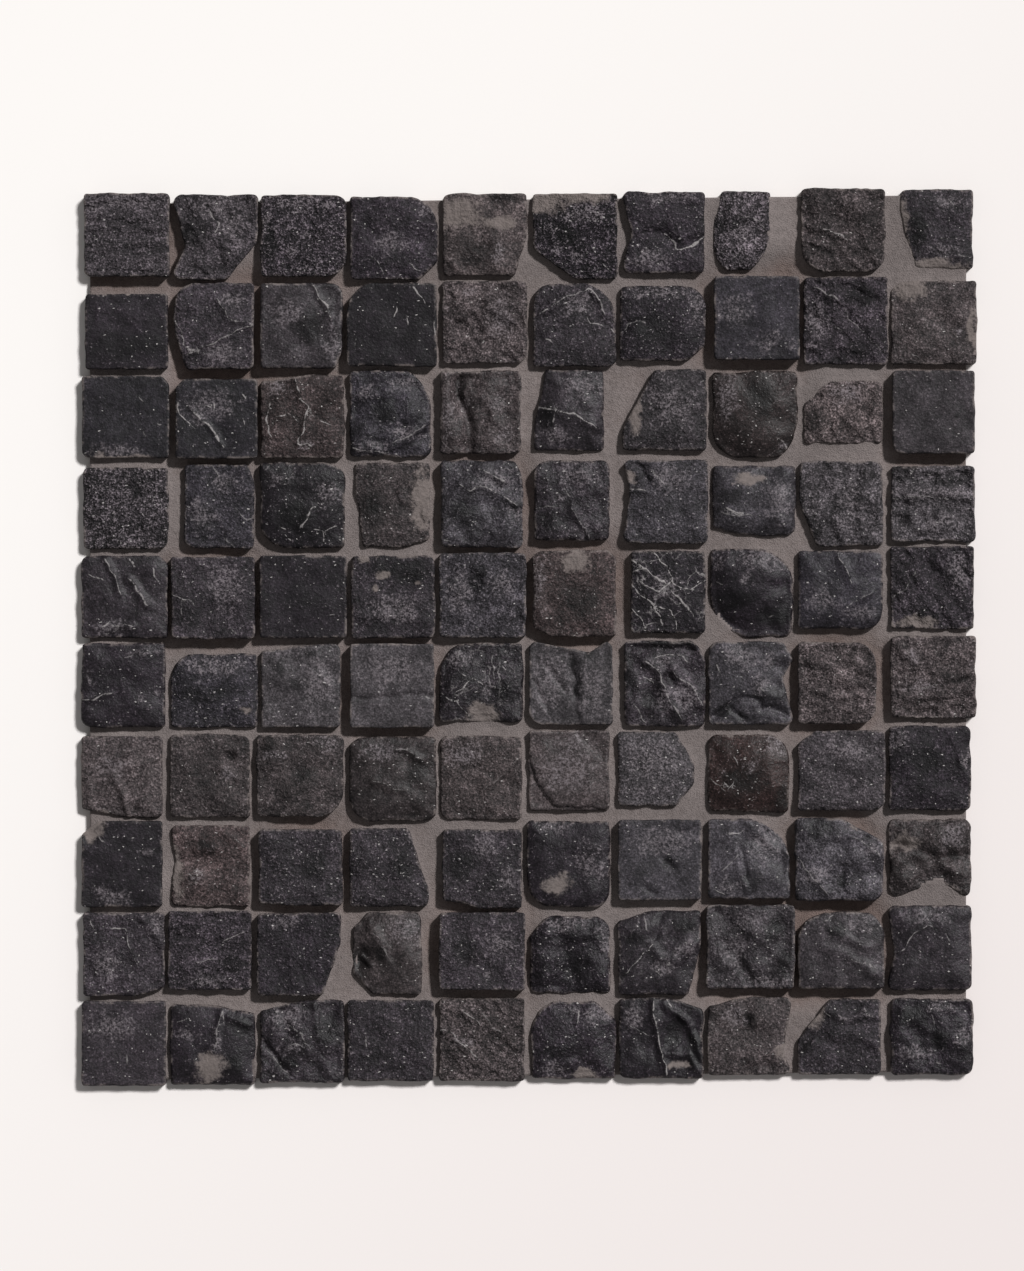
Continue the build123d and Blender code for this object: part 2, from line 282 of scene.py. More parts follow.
LOOKS: tuple[tuple[Look, ...], ...] = (
    (  # row 1, the north row, from west to east
        Look(GREY, RIPPLED, LIGHT, 0.3, lay=6, bands=0.9, bank=-0.8,
            stains=(pale_and_sheen(17, 17, 8, 5), pale_and_sheen(50, 10, 40, 10))),
        Look(GREY, CLEFT, LIGHT, 0.35, lay=-55, bands=0.4, crown=0.6,
            veins=(vein(45, 20, 55, 36, 50, 45, strength=0.7),),
            stains=(pale_and_sheen(50, 14, 35, 14), pale_and_sheen(72, 35, 20, 20), dark_and_shade(25, 40, 20, 22)),
            ridges=(ridge(36, 8, 30, 36, 14, 52), ridge(50, 12, 55, 40, 40, 60))),
        Look(CHARCOAL, COARSE, LIGHT, 0.8, crown=0.5,
            stains=(pale_and_sheen(53, 46, 6, 5), pale_and_sheen(36, 65, 7, 5), pale_and_sheen(75, 12, 8, 6), pale_and_sheen(53, 82, 8, 5),
                pale_and_sheen(10, 33, 6, 9), pale_and_sheen(40, 15, 30, 12), dark_and_shade(12, 60, 12, 30))),
        Look(BLACK, FINE, LIGHT, 0.5,
            veins=(vein(61, 73, 70, 80, 78, 90, strength=0.7), vein(26, 73, 34, 80, 37, 92, strength=0.7),
                vein(80, 5, 88, 12, 94, 26, strength=0.7)),
            # the pale patch at the north-east corner is a painted highlight on the knocked-off corner
            stains=(pale_and_sheen(46, 58, 20, 16), pale_and_sheen(88, 18, 12, 16)),
            dents=(Dent(100, 2, 40, 2.4),),
            ridges=(ridge(78, 4, 88, 12, 95, 30, width=1.2, height=1),)),
        Look(TAUPE, FINE, LIGHT, 0.1,
            stains=(film(24, 26, 30, 20), film(66, 36, 26, 10), dark_and_shade(42, 72, 28, 18), dark_and_shade(72, 8, 22, 9),
                pale_and_sheen(66, 70, 8, 20)),
            ridges=(ridge(62, 46, 67, 86, width=2.2, height=1.1), ridge(8, 78, 20, 86, width=1.5, height=0.7))),
        Look(BLACK, COARSE, PLAIN, 0.7, bank=2.0,
            veins=(vein(84, 82, 92, 92, strength=0.7),),
            stains=(film(14, 10, 36, 20), film(60, 4, 50, 16), pale_and_sheen(62, 28, 36, 11), pale_and_sheen(55, 75, 10, 7),
                pale_and_sheen(30, 66, 7, 6), dark_and_shade(30, 50, 30, 16)),
            dents=(Dent(20, 5, 42, 1.2),)),
        Look(BLACK, FINE, LIGHT, 0.8,
            veins=(vein(52, 50, 58, 54, 66, 68, 80, 66, 95, 56, strength=0.9),),
            stains=(pale_and_sheen(36, 78, 30, 14), pale_and_sheen(55, 10, 40, 8)),
            ridges=(ridge(8, 62, 34, 50, 52, 50, 66, 68, 95, 57, width=1.6, height=-1.1),)),
        Look(GREY, COARSE, PALE, 0.5, bank=2.6, crown=1.8,
            veins=(vein(16, 12, 25, 26), vein(34, 32, 58, 36, 62, 46), vein(30, 78, 38, 66, strength=0.7)),
            stains=(dark_and_shade(15, 40, 10, 20), pale_and_sheen(40, 50, 15, 12)),
            ridges=(ridge(20, 10, 30, 30, 60, 38, width=1.2, height=0.8),)),
        Look(OLIVE, CLEFT, PLAIN, 0.25, lay=-25, bands=0.3,
            veins=(vein(30, 48, 45, 52, 60, 60, strength=0.6),),
            ridges=(ridge(6, 42, 35, 50, 62, 58, width=1.0, height=1.1),
                ridge(10, 60, 40, 68, width=0.9, height=0.7))),
        Look(CHARCOAL, FINE, PLAIN, 0.3, bank=2.4, crown=1.6,
            veins=(vein(70, 18, 76, 24), vein(80, 76, 92, 80)),
            stains=(film(50, 92, 50, 14), film(16, 50, 10, 50), pale_and_sheen(66, 72, 20, 10), pale_and_sheen(70, 20, 20, 12),
                dark_and_shade(35, 50, 12, 30))),
    ),
    (  # row 2
        Look(BLACK, FLAT, PLAIN, 0.35,
            stains=(film(50, 6, 45, 6), dark_and_shade(50, 70, 50, 20))),
        Look(CHARCOAL, FINE, LIGHT, 0.35, bank=-0.4,
            veins=(vein(52, 18, 66, 40, 92, 46, strength=0.6, crest=(1.0, 0.7)),
                vein(92, 48, 64, 60, 46, 70, 22, 80, strength=0.6), vein(8, 44, 17, 70, 30, 78, strength=0.7)),
            stains=(pale_and_sheen(60, 80, 30, 14), pale_and_sheen(72, 20, 16, 14)),
            ridges=(ridge(92, 48, 64, 60, 22, 80, width=1.2, height=0.7),)),
        Look(GREY, SMOOTH, PLAIN, 0.25, bank=-0.6, crown=0.3,
            veins=(vein(59, 2, 64, 12, 75, 26, 79, 40, strength=0.8, crest=(0.9, 0.7)),),
            stains=(pale_and_sheen(30, 35, 25, 20), pale_and_sheen(85, 70, 15, 25), dark_and_shade(55, 55, 20, 20))),
        Look(BLACK, FLAT, DEEP, 0.2,
            veins=(vein(53, 32, 52, 40, strength=0.9), vein(66, 42, 67, 48, strength=0.9),
                vein(94, 46, 95, 60, strength=0.9), vein(10, 63, 9, 72, strength=0.9),
                vein(74, 6, 84, 26, strength=0.8), vein(22, 6, 26, 8, strength=0.9))),
        Look(OLIVE, CLEFT, PALE, 0.25, lay=-40, bands=0.3,
            stains=(pale_and_sheen(34, 14, 10, 6), pale_and_sheen(70, 40, 20, 30)),
            dents=(Dent(48, 27, 8, 1.0), Dent(60, 38, 8, 1.0), Dent(42, 56, 10, 0.8), Dent(78, 85, 10, 0.8)),
            ridges=(ridge(12, 48, 40, 34, width=1.2, height=1.1), ridge(30, 75, 62, 55, width=1.2, height=1.1),
                ridge(55, 30, 85, 45, width=1.0, height=1))),
        Look(CHARCOAL, FINE, PLAIN, 0.4,
            veins=(vein(13, 40, 26, 31, 45, 20, 67, 12, 82, 25, 85, 40, strength=0.7),
                vein(65, 37, 69, 48, 82, 51, strength=0.7), vein(93, 57, 100, 66, strength=0.7),
                vein(20, 67, 28, 70, strength=0.7)),
            stains=(pale_and_sheen(55, 30, 25, 16), pale_and_sheen(80, 10, 20, 10)),
            ridges=(ridge(13, 40, 45, 20, 67, 12, 82, 25, 85, 40, width=1.3, height=1.1),)),
        Look(BLACK, FINE, PLAIN, 0.8, crown=1.8,
            veins=(vein(4, 60, 12, 52, 30, 48, crest=(1.2, -1.1)),),
            stains=(pale_and_sheen(50, 16, 45, 10), pale_and_sheen(90, 30, 10, 30), dark_and_shade(40, 55, 30, 20))),
        Look(BLUE, FLAT, PLAIN, 0.15, bank=-0.8,
            stains=(pale_and_sheen(30, 40, 25, 20), pale_and_sheen(70, 75, 25, 14))),
        Look(CHARCOAL, CLEFT, LIGHT, 0.35, lay=-45, bands=0.3,
            veins=(vein(52, 36, 64, 54, 78, 66, 97, 85), vein(20, 12, 45, 26, strength=0.6),
                vein(30, 40, 50, 62, strength=0.5)),
            stains=(pale_and_sheen(20, 50, 20, 30), dark_and_shade(72, 22, 22, 16), dark_and_shade(72, 80, 20, 12)),
            ledges=(ledge(97, 85, 40, 22, step=0.7),),
            ridges=(ridge(18, 10, 50, 30, width=1.0, height=1), ridge(55, 12, 90, 28, width=1.0, height=-1.1))),
        Look(OLIVE, FINE, LIGHT, 0.35, bank=2.6,
            veins=(vein(42, 50, 46, 55), vein(30, 90, 36, 94)),
            stains=(film(26, 14, 24, 18), pale_and_sheen(82, 64, 7, 8), film(95, 60, 6, 30))),
    ),
    (  # row 3
        Look(BLUE, FLAT, DEEP, 0.12, bank=1.8,
            veins=(vein(67, 27, 70, 32), vein(70, 64, 74, 70), vein(85, 55, 90, 58)),
            stains=(film(45, 98, 45, 9), pale_and_sheen(40, 86, 35, 8))),
        Look(BLUE, FLAT, DEEP, 0.25, bank=-0.8,
            veins=(vein(9, 36, 12, 48, 18, 56, 29, 62, wide=1.1, strength=0.9),
                vein(27, 44, 40, 56, 50, 68, 60, 83, wide=1.6, strength=0.9, crest=(0.8, 0.5)),
                vein(48, 36, 50, 43, strength=0.9), vein(80, 25, 84, 30, strength=0.9),
                vein(82, 53, 84, 58, strength=0.9), vein(40, 37, 44, 40, strength=0.9)),
            stains=(pale_and_sheen(50, 35, 35, 20), pale_and_sheen(35, 50, 12, 12))),
        Look(BROWN, FINE, PLAIN, 0.3,
            veins=(vein(41, 10, 46, 32, 55, 40, 50, 65, 44, 82, 58, 84, strength=0.9),
                vein(21, 51, 33, 48, 42, 57, strength=0.9), vein(12, 36, 8, 58, 12, 74, strength=0.8),
                vein(70, 56, 78, 60, strength=0.9), vein(55, 40, 62, 50, strength=0.6)),
            stains=(pale_and_sheen(50, 84, 10, 6), pale_and_sheen(20, 18, 15, 12)),
            ridges=(ridge(41, 10, 46, 32, 55, 40, 50, 65, 44, 82, width=1.0, height=0.7),)),
        Look(BLUE, LUMPY, PLAIN, 0.3,
            veins=(vein(5, 85, 25, 92, 45, 92, strength=0.7), vein(50, 82, 68, 74, 85, 62),
                vein(12, 26, 28, 30, strength=0.6)),
            stains=(pale_and_sheen(25, 86, 25, 10), pale_and_sheen(68, 72, 22, 12), pale_and_sheen(20, 25, 16, 10), pale_and_sheen(65, 15, 20, 10),
                dark_and_shade(40, 45, 20, 20)),
            ridges=(ridge(5, 82, 35, 92, 60, 80, 88, 60, width=1.8, height=1.3),
                ridge(10, 30, 40, 25, width=1.6, height=0.9))),
        Look(OLIVE, LUMPY, LIGHT, 0.3, lay=80, crown=0.4,
            stains=(pale_and_sheen(65, 35, 10, 10), pale_and_sheen(32, 40, 8, 8), pale_and_sheen(73, 73, 14, 10), dark_and_shade(25, 20, 6, 16),
                pale_and_sheen(10, 55, 8, 35)),
            ridges=(ridge(23, 6, 20, 30, 35, 60, 33, 92, width=1.6, height=-1.8),
                ridge(8, 10, 10, 50, 22, 90, width=2.4, height=1.1),
                ridge(50, 20, 62, 55, width=2.0, height=0.7))),
        Look(CHARCOAL, SMOOTH, PLAIN, 0.35,
            veins=(vein(11, 45, 26, 47, 48, 49, 63, 58, 76, 67, strength=0.8),
                vein(33, 45, 28, 60, strength=0.7)),
            stains=(pale_and_sheen(60, 20, 25, 18), pale_and_sheen(30, 75, 20, 12), dark_and_shade(20, 55, 14, 20)),
            dents=(hill(55, 50, 50, 1.2),),
            ridges=(ridge(11, 45, 48, 49, 76, 67, width=1.6, height=1),)),
        Look(GREY, FINE, DIM, 0.35, crown=1.4,
            stains=(film(20, 50, 10, 30), pale_and_sheen(60, 40, 30, 30)),
            ridges=(ridge(94, 8, 97, 26, width=0.8, height=-0.8),)),
        Look(BROWN, SMOOTH, DEEP, 0.5,
            veins=(vein(78, 80, 86, 84, 90, 90), vein(68, 12, 76, 6, strength=0.5)),
            stains=(pale_and_sheen(20, 35, 16, 30), dark_and_shade(60, 35, 20, 30), pale_and_sheen(85, 86, 8, 5)),
            dents=(hill(45, 50, 60, 1.4), Dent(25, 102, 35, 1.4), Dent(95, 90, 20, 1.0))),
        Look(TAUPE, CLEFT, PALE, 0.15, lay=62, bands=0.5, bank=2.4, crown=1.6,
            stains=(pale_and_sheen(55, 30, 25, 16), dark_and_shade(20, 60, 12, 20))),
        Look(GREY, FLAT, PLAIN, 0.2, bank=-0.8,
            veins=(vein(28, 10, 30, 12),),
            stains=(dark_and_shade(80, 60, 4, 4), dark_and_shade(40, 70, 3, 3))),
    ),
    (  # row 4
        Look(GREY, COARSE, PLAIN, 0.8, bank=2.0, crown=0.3),
        Look(BLUE, FINE, PLAIN, 0.35,
            veins=(vein(49, 4, 55, 18), vein(74, 53, 86, 64, 90, 62), vein(62, 86, 74, 98)),
            stains=(pale_and_sheen(62, 24, 20, 14), pale_and_sheen(35, 60, 20, 20))),
        Look(BLACK, SMOOTH, DEEP, 0.55, crown=0.8,
            veins=(vein(59, 54, 53, 66, 46, 74, strength=0.8), vein(60, 53, 52, 68, strength=0.8),
                vein(62, 76, 72, 78, 86, 74, strength=0.8), vein(70, 78, 72, 90, strength=0.8),
                vein(23, 74, 28, 76, strength=0.8), vein(28, 84, 35, 88, strength=0.8)),
            stains=(pale_and_sheen(75, 35, 16, 16), pale_and_sheen(25, 20, 25, 10), dark_and_shade(40, 60, 20, 20)),
            ridges=(ridge(59, 54, 46, 74, width=1.2, height=0.7),)),
        Look(OLIVE, FINE, PLAIN, 0.2, bank=2.4,
            stains=(film(82, 45, 16, 42), pale_and_sheen(58, 42, 6, 5), dark_and_shade(25, 60, 15, 30)),
            ridges=(ridge(80, 56, 80, 72, width=0.8, height=-0.8), ridge(58, 36, 62, 46, width=1.2, height=0.8))),
        Look(STEEL, LUMPY, PLAIN, 0.4, bank=-0.6,
            veins=(vein(24, 28, 36, 35, 46, 30, 65, 37, 87, 52, strength=0.7),
                vein(46, 11, 62, 20, 72, 24, strength=0.7), vein(6, 90, 14, 90, strength=0.7),
                vein(30, 84, 40, 78, strength=0.6)),
            stains=(pale_and_sheen(60, 24, 28, 16), pale_and_sheen(85, 60, 10, 12), dark_and_shade(30, 62, 20, 16)),
            dents=(Dent(84, 55, 10, 0.9), Dent(55, 50, 14, 0.6)),
            ridges=(ridge(24, 28, 46, 30, 65, 37, 87, 52, width=1.4, height=1.4),
                ridge(46, 11, 72, 24, width=1.3, height=1.1))),
        Look(CHARCOAL, LUMPY, PLAIN, 0.45, crown=1.2,
            veins=(vein(48, 56, 58, 72, 69, 90, crest=(1.2, 1)), vein(10, 56, 30, 54, strength=0.5),
                vein(40, 35, 45, 42)),
            stains=(pale_and_sheen(55, 20, 30, 16), pale_and_sheen(38, 44, 6, 5), pale_and_sheen(62, 85, 10, 12), dark_and_shade(25, 72, 20, 14))),
        Look(STEEL, FINE, PLAIN, 0.4,
            veins=(vein(8, 37, 30, 37, strength=0.7), vein(40, 16, 55, 34, strength=0.5)),
            stains=(pale_and_sheen(60, 25, 25, 20), film(14, 24, 10, 10)),
            dents=(Dent(14, 22, 20, 1.6),),
            ridges=(ridge(20, 4, 34, 24, width=1.6, height=-1.7), ridge(8, 38, 30, 38, width=1.0, height=0.8),
                ridge(36, 20, 55, 36, width=1.2, height=0.7))),
        Look(STEEL, SMOOTH, PLAIN, 0.35, crown=1.5,
            veins=(vein(15, 61, 30, 66, 50, 68), vein(22, 58, 40, 65, strength=0.7)),
            stains=(film(46, 25, 22, 10), pale_and_sheen(46, 25, 20, 9), pale_and_sheen(80, 50, 18, 30), dark_and_shade(25, 45, 20, 10)),
            dents=(Dent(10, 100, 50, 1.2),)),
        Look(ASH, CLEFT, PLAIN, 0.3, lay=75, bands=0.5,
            stains=(dark_and_shade(15, 80, 16, 16), pale_and_sheen(60, 50, 20, 35)),
            ridges=(ridge(40, 10, 50, 90, width=2.0, height=0.8), ridge(75, 15, 70, 80, width=1.5, height=0.8))),
        Look(ASH, CLEFT, LIGHT, 0.35, lay=-10, bands=0.4,
            veins=(vein(32, 10, 26, 24), vein(8, 50, 40, 46, 70, 52, strength=0.6)),
            stains=(pale_and_sheen(50, 45, 40, 10), pale_and_sheen(60, 75, 20, 10), dark_and_shade(18, 74, 14, 14), dark_and_shade(20, 14, 20, 8),
                dark_and_shade(70, 30, 30, 8)),
            dents=(hill(30, 48, 20, 1.4), hill(72, 50, 22, 1.2), hill(62, 80, 16, 1.0), Dent(20, 76, 16, 1.4),
                Dent(50, 27, 12, 1.0), Dent(85, 25, 14, 1.0)),
            ridges=(ridge(5, 46, 50, 42, 95, 50, width=2.4, height=1.4),
                ridge(40, 88, 70, 66, width=1.5, height=1.1),
                ridge(5, 16, 50, 20, 90, 16, width=1.2, height=1.1))),
    ),
    (  # row 5
        Look(CHARCOAL, SMOOTH, PLAIN, 0.25, lay=-60, bands=0.4, crown=0.5,
            veins=(vein(28, 8, 37, 24, 45, 48, strength=0.7, crest=(1.0, 1)),
                vein(82, 18, 88, 36, strength=0.7), vein(56, 30, 66, 46, 76, 60, strength=0.7),
                vein(60, 36, 74, 56, strength=0.7), vein(24, 84, 32, 80, strength=0.7),
                vein(36, 82, 44, 84, strength=0.7), vein(50, 80, 58, 84, strength=0.7),
                vein(30, 90, 40, 88, strength=0.7), vein(10, 24, 24, 30, strength=0.6),
                vein(56, 10, 62, 16, strength=0.7)),
            stains=(pale_and_sheen(40, 85, 24, 10),),
            ridges=(ridge(56, 30, 76, 60, width=1.3, height=1.1), ridge(20, 86, 60, 84, width=1.6, height=0.8))),
        Look(CHARCOAL, FINE, LIGHT, 0.3, bank=-0.8, crown=0.4,
            veins=(vein(4, 48, 26, 58, strength=0.7), vein(13, 52, 14, 70, strength=0.6),
                vein(68, 86, 74, 92, strength=0.6)),
            # the large pale patch across the middle is a painted sheen
            stains=(pale_and_sheen(62, 42, 25, 34), dark_and_shade(20, 75, 20, 16))),
        Look(BLACK, FLAT, DIM, 0.4,
            veins=(vein(20, 84, 24, 80), vein(78, 70, 82, 70))),
        Look(CHARCOAL, FINE, PLAIN, 0.35, crown=0.5,
            stains=(film(40, 29, 9, 7), film(18, 12, 7, 6), film(28, 42, 6, 5), film(78, 34, 5, 4),
                dark_and_shade(55, 22, 45, 16), pale_and_sheen(50, 68, 40, 18)),
            ridges=(ridge(10, 76, 50, 72, 90, 80, width=1.2, height=0.4),)),
        Look(STEEL, CLEFT, PLAIN, 0.4, lay=70, crown=0.3,
            stains=(pale_and_sheen(25, 50, 20, 30), pale_and_sheen(70, 40, 16, 20), pale_and_sheen(40, 92, 6, 5), dark_and_shade(45, 35, 12, 20)),
            dents=(hill(20, 45, 16, 1.0), hill(28, 72, 15, 0.9), Dent(42, 35, 14, 0.8))),
        Look(BROWN, FINE, LIGHT, 0.3, bank=-1.0,
            stains=(film(54, 17, 22, 15), pale_and_sheen(12, 40, 10, 35), dark_and_shade(60, 60, 25, 25)),
            ridges=(ridge(10, 20, 14, 80, width=2.0, height=1), ridge(36, 26, 72, 30, width=0.8, height=0.4))),
        Look(BLACK, FINE, DIM, 0.4, web=0.6,
            veins=(vein(10, 10, 30, 24, 50, 40, 70, 60, 85, 76, strength=0.95),
                vein(40, 8, 55, 23, 62, 40, 80, 50, 98, 36, strength=0.95),
                vein(14, 42, 28, 56, 42, 66, 50, 88, strength=0.95),
                vein(42, 66, 60, 70, 66, 90, strength=0.95), vein(18, 70, 30, 90, strength=0.95),
                vein(25, 40, 45, 50, 60, 40, strength=0.95), vein(12, 28, 30, 24, strength=0.7)),
            stains=(pale_and_sheen(55, 45, 20, 20),)),
        Look(BLACK, SMOOTH, PLAIN, 0.12,
            veins=(vein(10, 40, 16, 42), vein(70, 78, 76, 76)),
            # the broad pale patch to the north is a painted sheen, and the dark patches to the south are painted
            # shade
            stains=(pale_and_sheen(60, 14, 40, 16), pale_and_sheen(42, 36, 8, 6), pale_and_sheen(12, 18, 10, 12), dark_and_shade(30, 60, 30, 14),
                dark_and_shade(75, 78, 25, 14)),
            dents=(hill(42, 36, 60, 3.4), hill(72, 30, 20, 0.7), Dent(10, 100, 55, 2.0), Dent(76, 20, 12, 0.7),
                Dent(100, 5, 30, 1.6), Dent(35, 62, 22, 0.7))),
        Look(BLUE, SMOOTH, PLAIN, 0.3,
            veins=(vein(55, 68, 66, 62, 84, 54), vein(46, 10, 54, 26, 62, 42, strength=0.6)),
            stains=(pale_and_sheen(30, 60, 20, 20), pale_and_sheen(70, 75, 20, 10)),
            ridges=(ridge(46, 10, 62, 42, width=1.5, height=0.6), ridge(55, 68, 84, 54, width=1.0, height=0.7))),
        Look(CHARCOAL, RIPPLED, PLAIN, 0.25, lay=-60, bands=0.4, bank=2.0,
            veins=(vein(4, 62, 20, 50, 32, 32, crest=(1.0, 0.8)), vein(40, 85, 50, 92, strength=0.6)),
            stains=(film(35, 88, 28, 9), pale_and_sheen(80, 30, 14, 30)),
            ridges=(ridge(35, 30, 60, 80, width=3.0, height=0.8), ridge(60, 10, 90, 70, width=3.0, height=0.8))),
    ),
    (  # row 6
        Look(BLACK, SMOOTH, PLAIN, 0.45, crown=0.6,
            veins=(vein(4, 66, 20, 62, 36, 58, strength=0.7), vein(50, 20, 60, 14, strength=0.5)),
            stains=(pale_and_sheen(67, 66, 6, 4), pale_and_sheen(88, 60, 7, 5), pale_and_sheen(70, 12, 20, 6), pale_and_sheen(10, 40, 8, 10)),
            ridges=(ridge(4, 66, 36, 58, width=1.0, height=0.6),)),
        Look(BLUE, FINE, PLAIN, 0.7, bank=1.8, crown=1.5,
            # the broad pale patch to the north is painted light on the stone's northern slope
            stains=(pale_and_sheen(50, 28, 42, 14), film(87, 79, 9, 6), dark_and_shade(40, 60, 35, 12))),
        Look(ASH, SMOOTH, PLAIN, 0.3, lay=60, bands=0.3, crown=0.2,
            stains=(pale_and_sheen(65, 50, 20, 40), dark_and_shade(25, 30, 6, 12), dark_and_shade(40, 50, 8, 10), dark_and_shade(55, 14, 5, 4))),
        Look(ASH, FLAT, PLAIN, 0.2, bank=-0.8,
            veins=(vein(82, 66, 92, 65),),
            stains=(dark_and_shade(26, 38, 4, 3), pale_and_sheen(50, 35, 40, 25)),
            ridges=(ridge(3, 65, 30, 67, 60, 63, 95, 64, width=0.8, height=-0.6),)),
        Look(CHARCOAL, LUMPY, DIM, 0.35, bank=1.8, web=0.5,
            veins=(vein(4, 64, 20, 70, 34, 90, strength=0.7), vein(20, 62, 40, 44, 54, 55, strength=0.7),
                vein(28, 40, 42, 47, strength=0.7), vein(74, 10, 78, 20, strength=0.7),
                vein(70, 30, 76, 36, strength=0.7), vein(60, 20, 62, 45, strength=0.5)),
            stains=(film(50, 86, 24, 17), pale_and_sheen(52, 55, 8, 12), pale_and_sheen(25, 25, 16, 12), dark_and_shade(72, 60, 16, 16)),
            dents=(Dent(80, 10, 12, 0.9),)),
        Look(ASH, FLAT, DIM, 0.05, lay=-60, bands=0.3,
            stains=(pale_and_sheen(25, 50, 26, 40), pale_and_sheen(75, 60, 22, 35), dark_and_shade(50, 30, 6, 14), dark_and_shade(56, 55, 5, 14),
                dark_and_shade(68, 22, 6, 5)),
            dents=(Dent(75, 0, 35, 1.2),),
            ledges=(ledge(60, 95, 47, 10, step=0.6),),
            ridges=(ridge(20, 30, 42, 62, width=0.8, height=-0.6), ridge(6, 50, 22, 82, width=0.8, height=-0.6),
                ridge(50, 20, 54, 65, width=1.4, height=-1.1))),
        Look(CHARCOAL, LUMPY, LIGHT, 0.3, lay=-55, bands=0.3, crown=0.6,
            veins=(vein(32, 28, 48, 42, 54, 66, 72, 92, strength=0.6),
                vein(62, 40, 80, 55, 96, 76, strength=0.6), vein(40, 24, 62, 20, 80, 28, strength=0.6),
                vein(20, 76, 30, 95, strength=0.6), vein(30, 45, 40, 52, strength=0.7)),
            # the tall dark patch at the west is painted shade on the stone's west slope
            stains=(pale_and_sheen(50, 30, 20, 12), pale_and_sheen(78, 70, 16, 20), pale_and_sheen(52, 72, 10, 20), dark_and_shade(60, 8, 40, 8),
                dark_and_shade(10, 40, 12, 30), dark_and_shade(36, 72, 12, 14)),
            dents=(Dent(57, 46, 10, 1.4), Dent(36, 66, 16, 1.2), Dent(70, 75, 10, 1.0)),
            ridges=(ridge(30, 26, 48, 42, 55, 66, 72, 93, width=1.7, height=1.8),
                ridge(62, 38, 80, 55, 95, 75, width=1.7, height=1.8),
                ridge(15, 12, 90, 16, width=1.4, height=-1.3))),
        Look(STEEL, SMOOTH, PLAIN, 0.4, crown=0.5,
            veins=(vein(58, 56, 63, 62), vein(10, 30, 14, 42, strength=0.7)),
            stains=(pale_and_sheen(60, 55, 12, 14), pale_and_sheen(35, 25, 25, 16), pale_and_sheen(70, 30, 10, 12), dark_and_shade(20, 84, 16, 10)),
            dents=(Dent(85, 34, 12, 1.3), Dent(78, 55, 8, 0.7)),
            ridges=(ridge(4, 92, 20, 84, 36, 69, 58, 72, 62, 82, 76, 82, 96, 90, width=1.1, height=-1.5),
                ridge(30, 84, 42, 94, width=0.9, height=-1), ridge(62, 62, 80, 70, width=1.4, height=1))),
        Look(OLIVE, CLEFT, PALE, 0.3, lay=12, bands=0.3, bank=-0.6,
            ridges=(ridge(10, 30, 40, 36, 60, 55, width=1.0, height=1),
                ridge(40, 50, 70, 40, 92, 50, width=1.0, height=1),
                ridge(15, 60, 40, 70, 85, 68, width=1.0, height=1), ridge(20, 85, 60, 82, width=1.0, height=0.7))),
        Look(OLIVE, CLEFT, PALE, 0.4, lay=8, bands=0.4,
            veins=(vein(20, 10, 26, 26, strength=0.6), vein(36, 62, 60, 56, strength=0.5)),
            stains=(pale_and_sheen(40, 60, 30, 10), pale_and_sheen(30, 26, 10, 10), dark_and_shade(75, 50, 20, 10)),
            ridges=(ridge(10, 12, 30, 30, 36, 40, width=1.4, height=1.3),
                ridge(10, 50, 50, 55, 90, 42, width=1.4, height=1.1),
                ridge(10, 75, 60, 70, 95, 62, width=1.3, height=1.1))),
    ),
    (  # row 7
        Look(OLIVE, FINE, PALE, 0.2, lay=50, bands=0.2, bank=2.2,
            stains=(film(26, 96, 14, 8), pale_and_sheen(35, 40, 20, 14)),
            ledges=(ledge(62, 14, 10, 50, step=0.6),),
            ridges=(ridge(30, 36, 58, 22, width=1.0, height=0.8),
                ridge(36, 50, 48, 70, 55, 95, width=1.2, height=1.1),
                ridge(8, 50, 12, 85, width=1.4, height=0.8), ridge(55, 40, 90, 30, width=1.0, height=0.7))),
        Look(OLIVE, FINE, PLAIN, 0.3,
            stains=(dark_and_shade(68, 30, 5, 10), pale_and_sheen(66, 50, 10, 6)),
            dents=(Dent(68, 30, 10, 1.5),),
            ridges=(ridge(56, 44, 68, 48, 76, 56, width=1.1, height=1.1),
                ridge(72, 92, 84, 80, width=1.0, height=0.8))),
        Look(OLIVE, FINE, PLAIN, 0.3, lay=30, bands=0.2,
            stains=(pale_and_sheen(20, 30, 16, 6), pale_and_sheen(75, 14, 20, 10), dark_and_shade(45, 50, 14, 20), dark_and_shade(10, 20, 8, 14)),
            ridges=(ridge(6, 42, 26, 28, width=1.1, height=0.8), ridge(30, 75, 60, 50, width=2.0, height=0.7))),
        Look(OLIVE, SMOOTH, DIM, 0.35,
            veins=(vein(46, 22, 64, 24, 84, 36, crest=(1.0, 1.1)),
                vein(27, 58, 44, 63, 60, 70, crest=(1.2, 1.1))),
            stains=(pale_and_sheen(40, 25, 30, 12), dark_and_shade(75, 50, 16, 20)),
            dents=(Dent(66, 36, 14, 0.8), Dent(75, 100, 40, 1.2))),
        Look(TAUPE, FINE, PLAIN, 0.2, bank=2.2,
            veins=(vein(50, 68, 70, 52, 88, 36, strength=0.3),),
            stains=(pale_and_sheen(30, 30, 25, 20),),
            ridges=(ridge(50, 68, 88, 36, width=1.0, height=0.6), ridge(55, 75, 60, 90, width=1.0, height=0.6))),
        Look(OLIVE, SMOOTH, PALE, 0.1, lay=60, bands=0.1, crown=0.3,
            stains=(pale_and_sheen(55, 20, 20, 20), pale_and_sheen(45, 45, 34, 34)),
            ledges=(ledge(54, 0, 56, 10, 74, 35, 70, 57, 72, 95, step=0.9),
                ledge(85, 89, 34, 89, 20, 76, 8, 60, 2, 40, step=1.1))),
        Look(ASH, FINE, PLAIN, 0.6, bank=1.8,
            stains=(pale_and_sheen(40, 40, 35, 30),)),
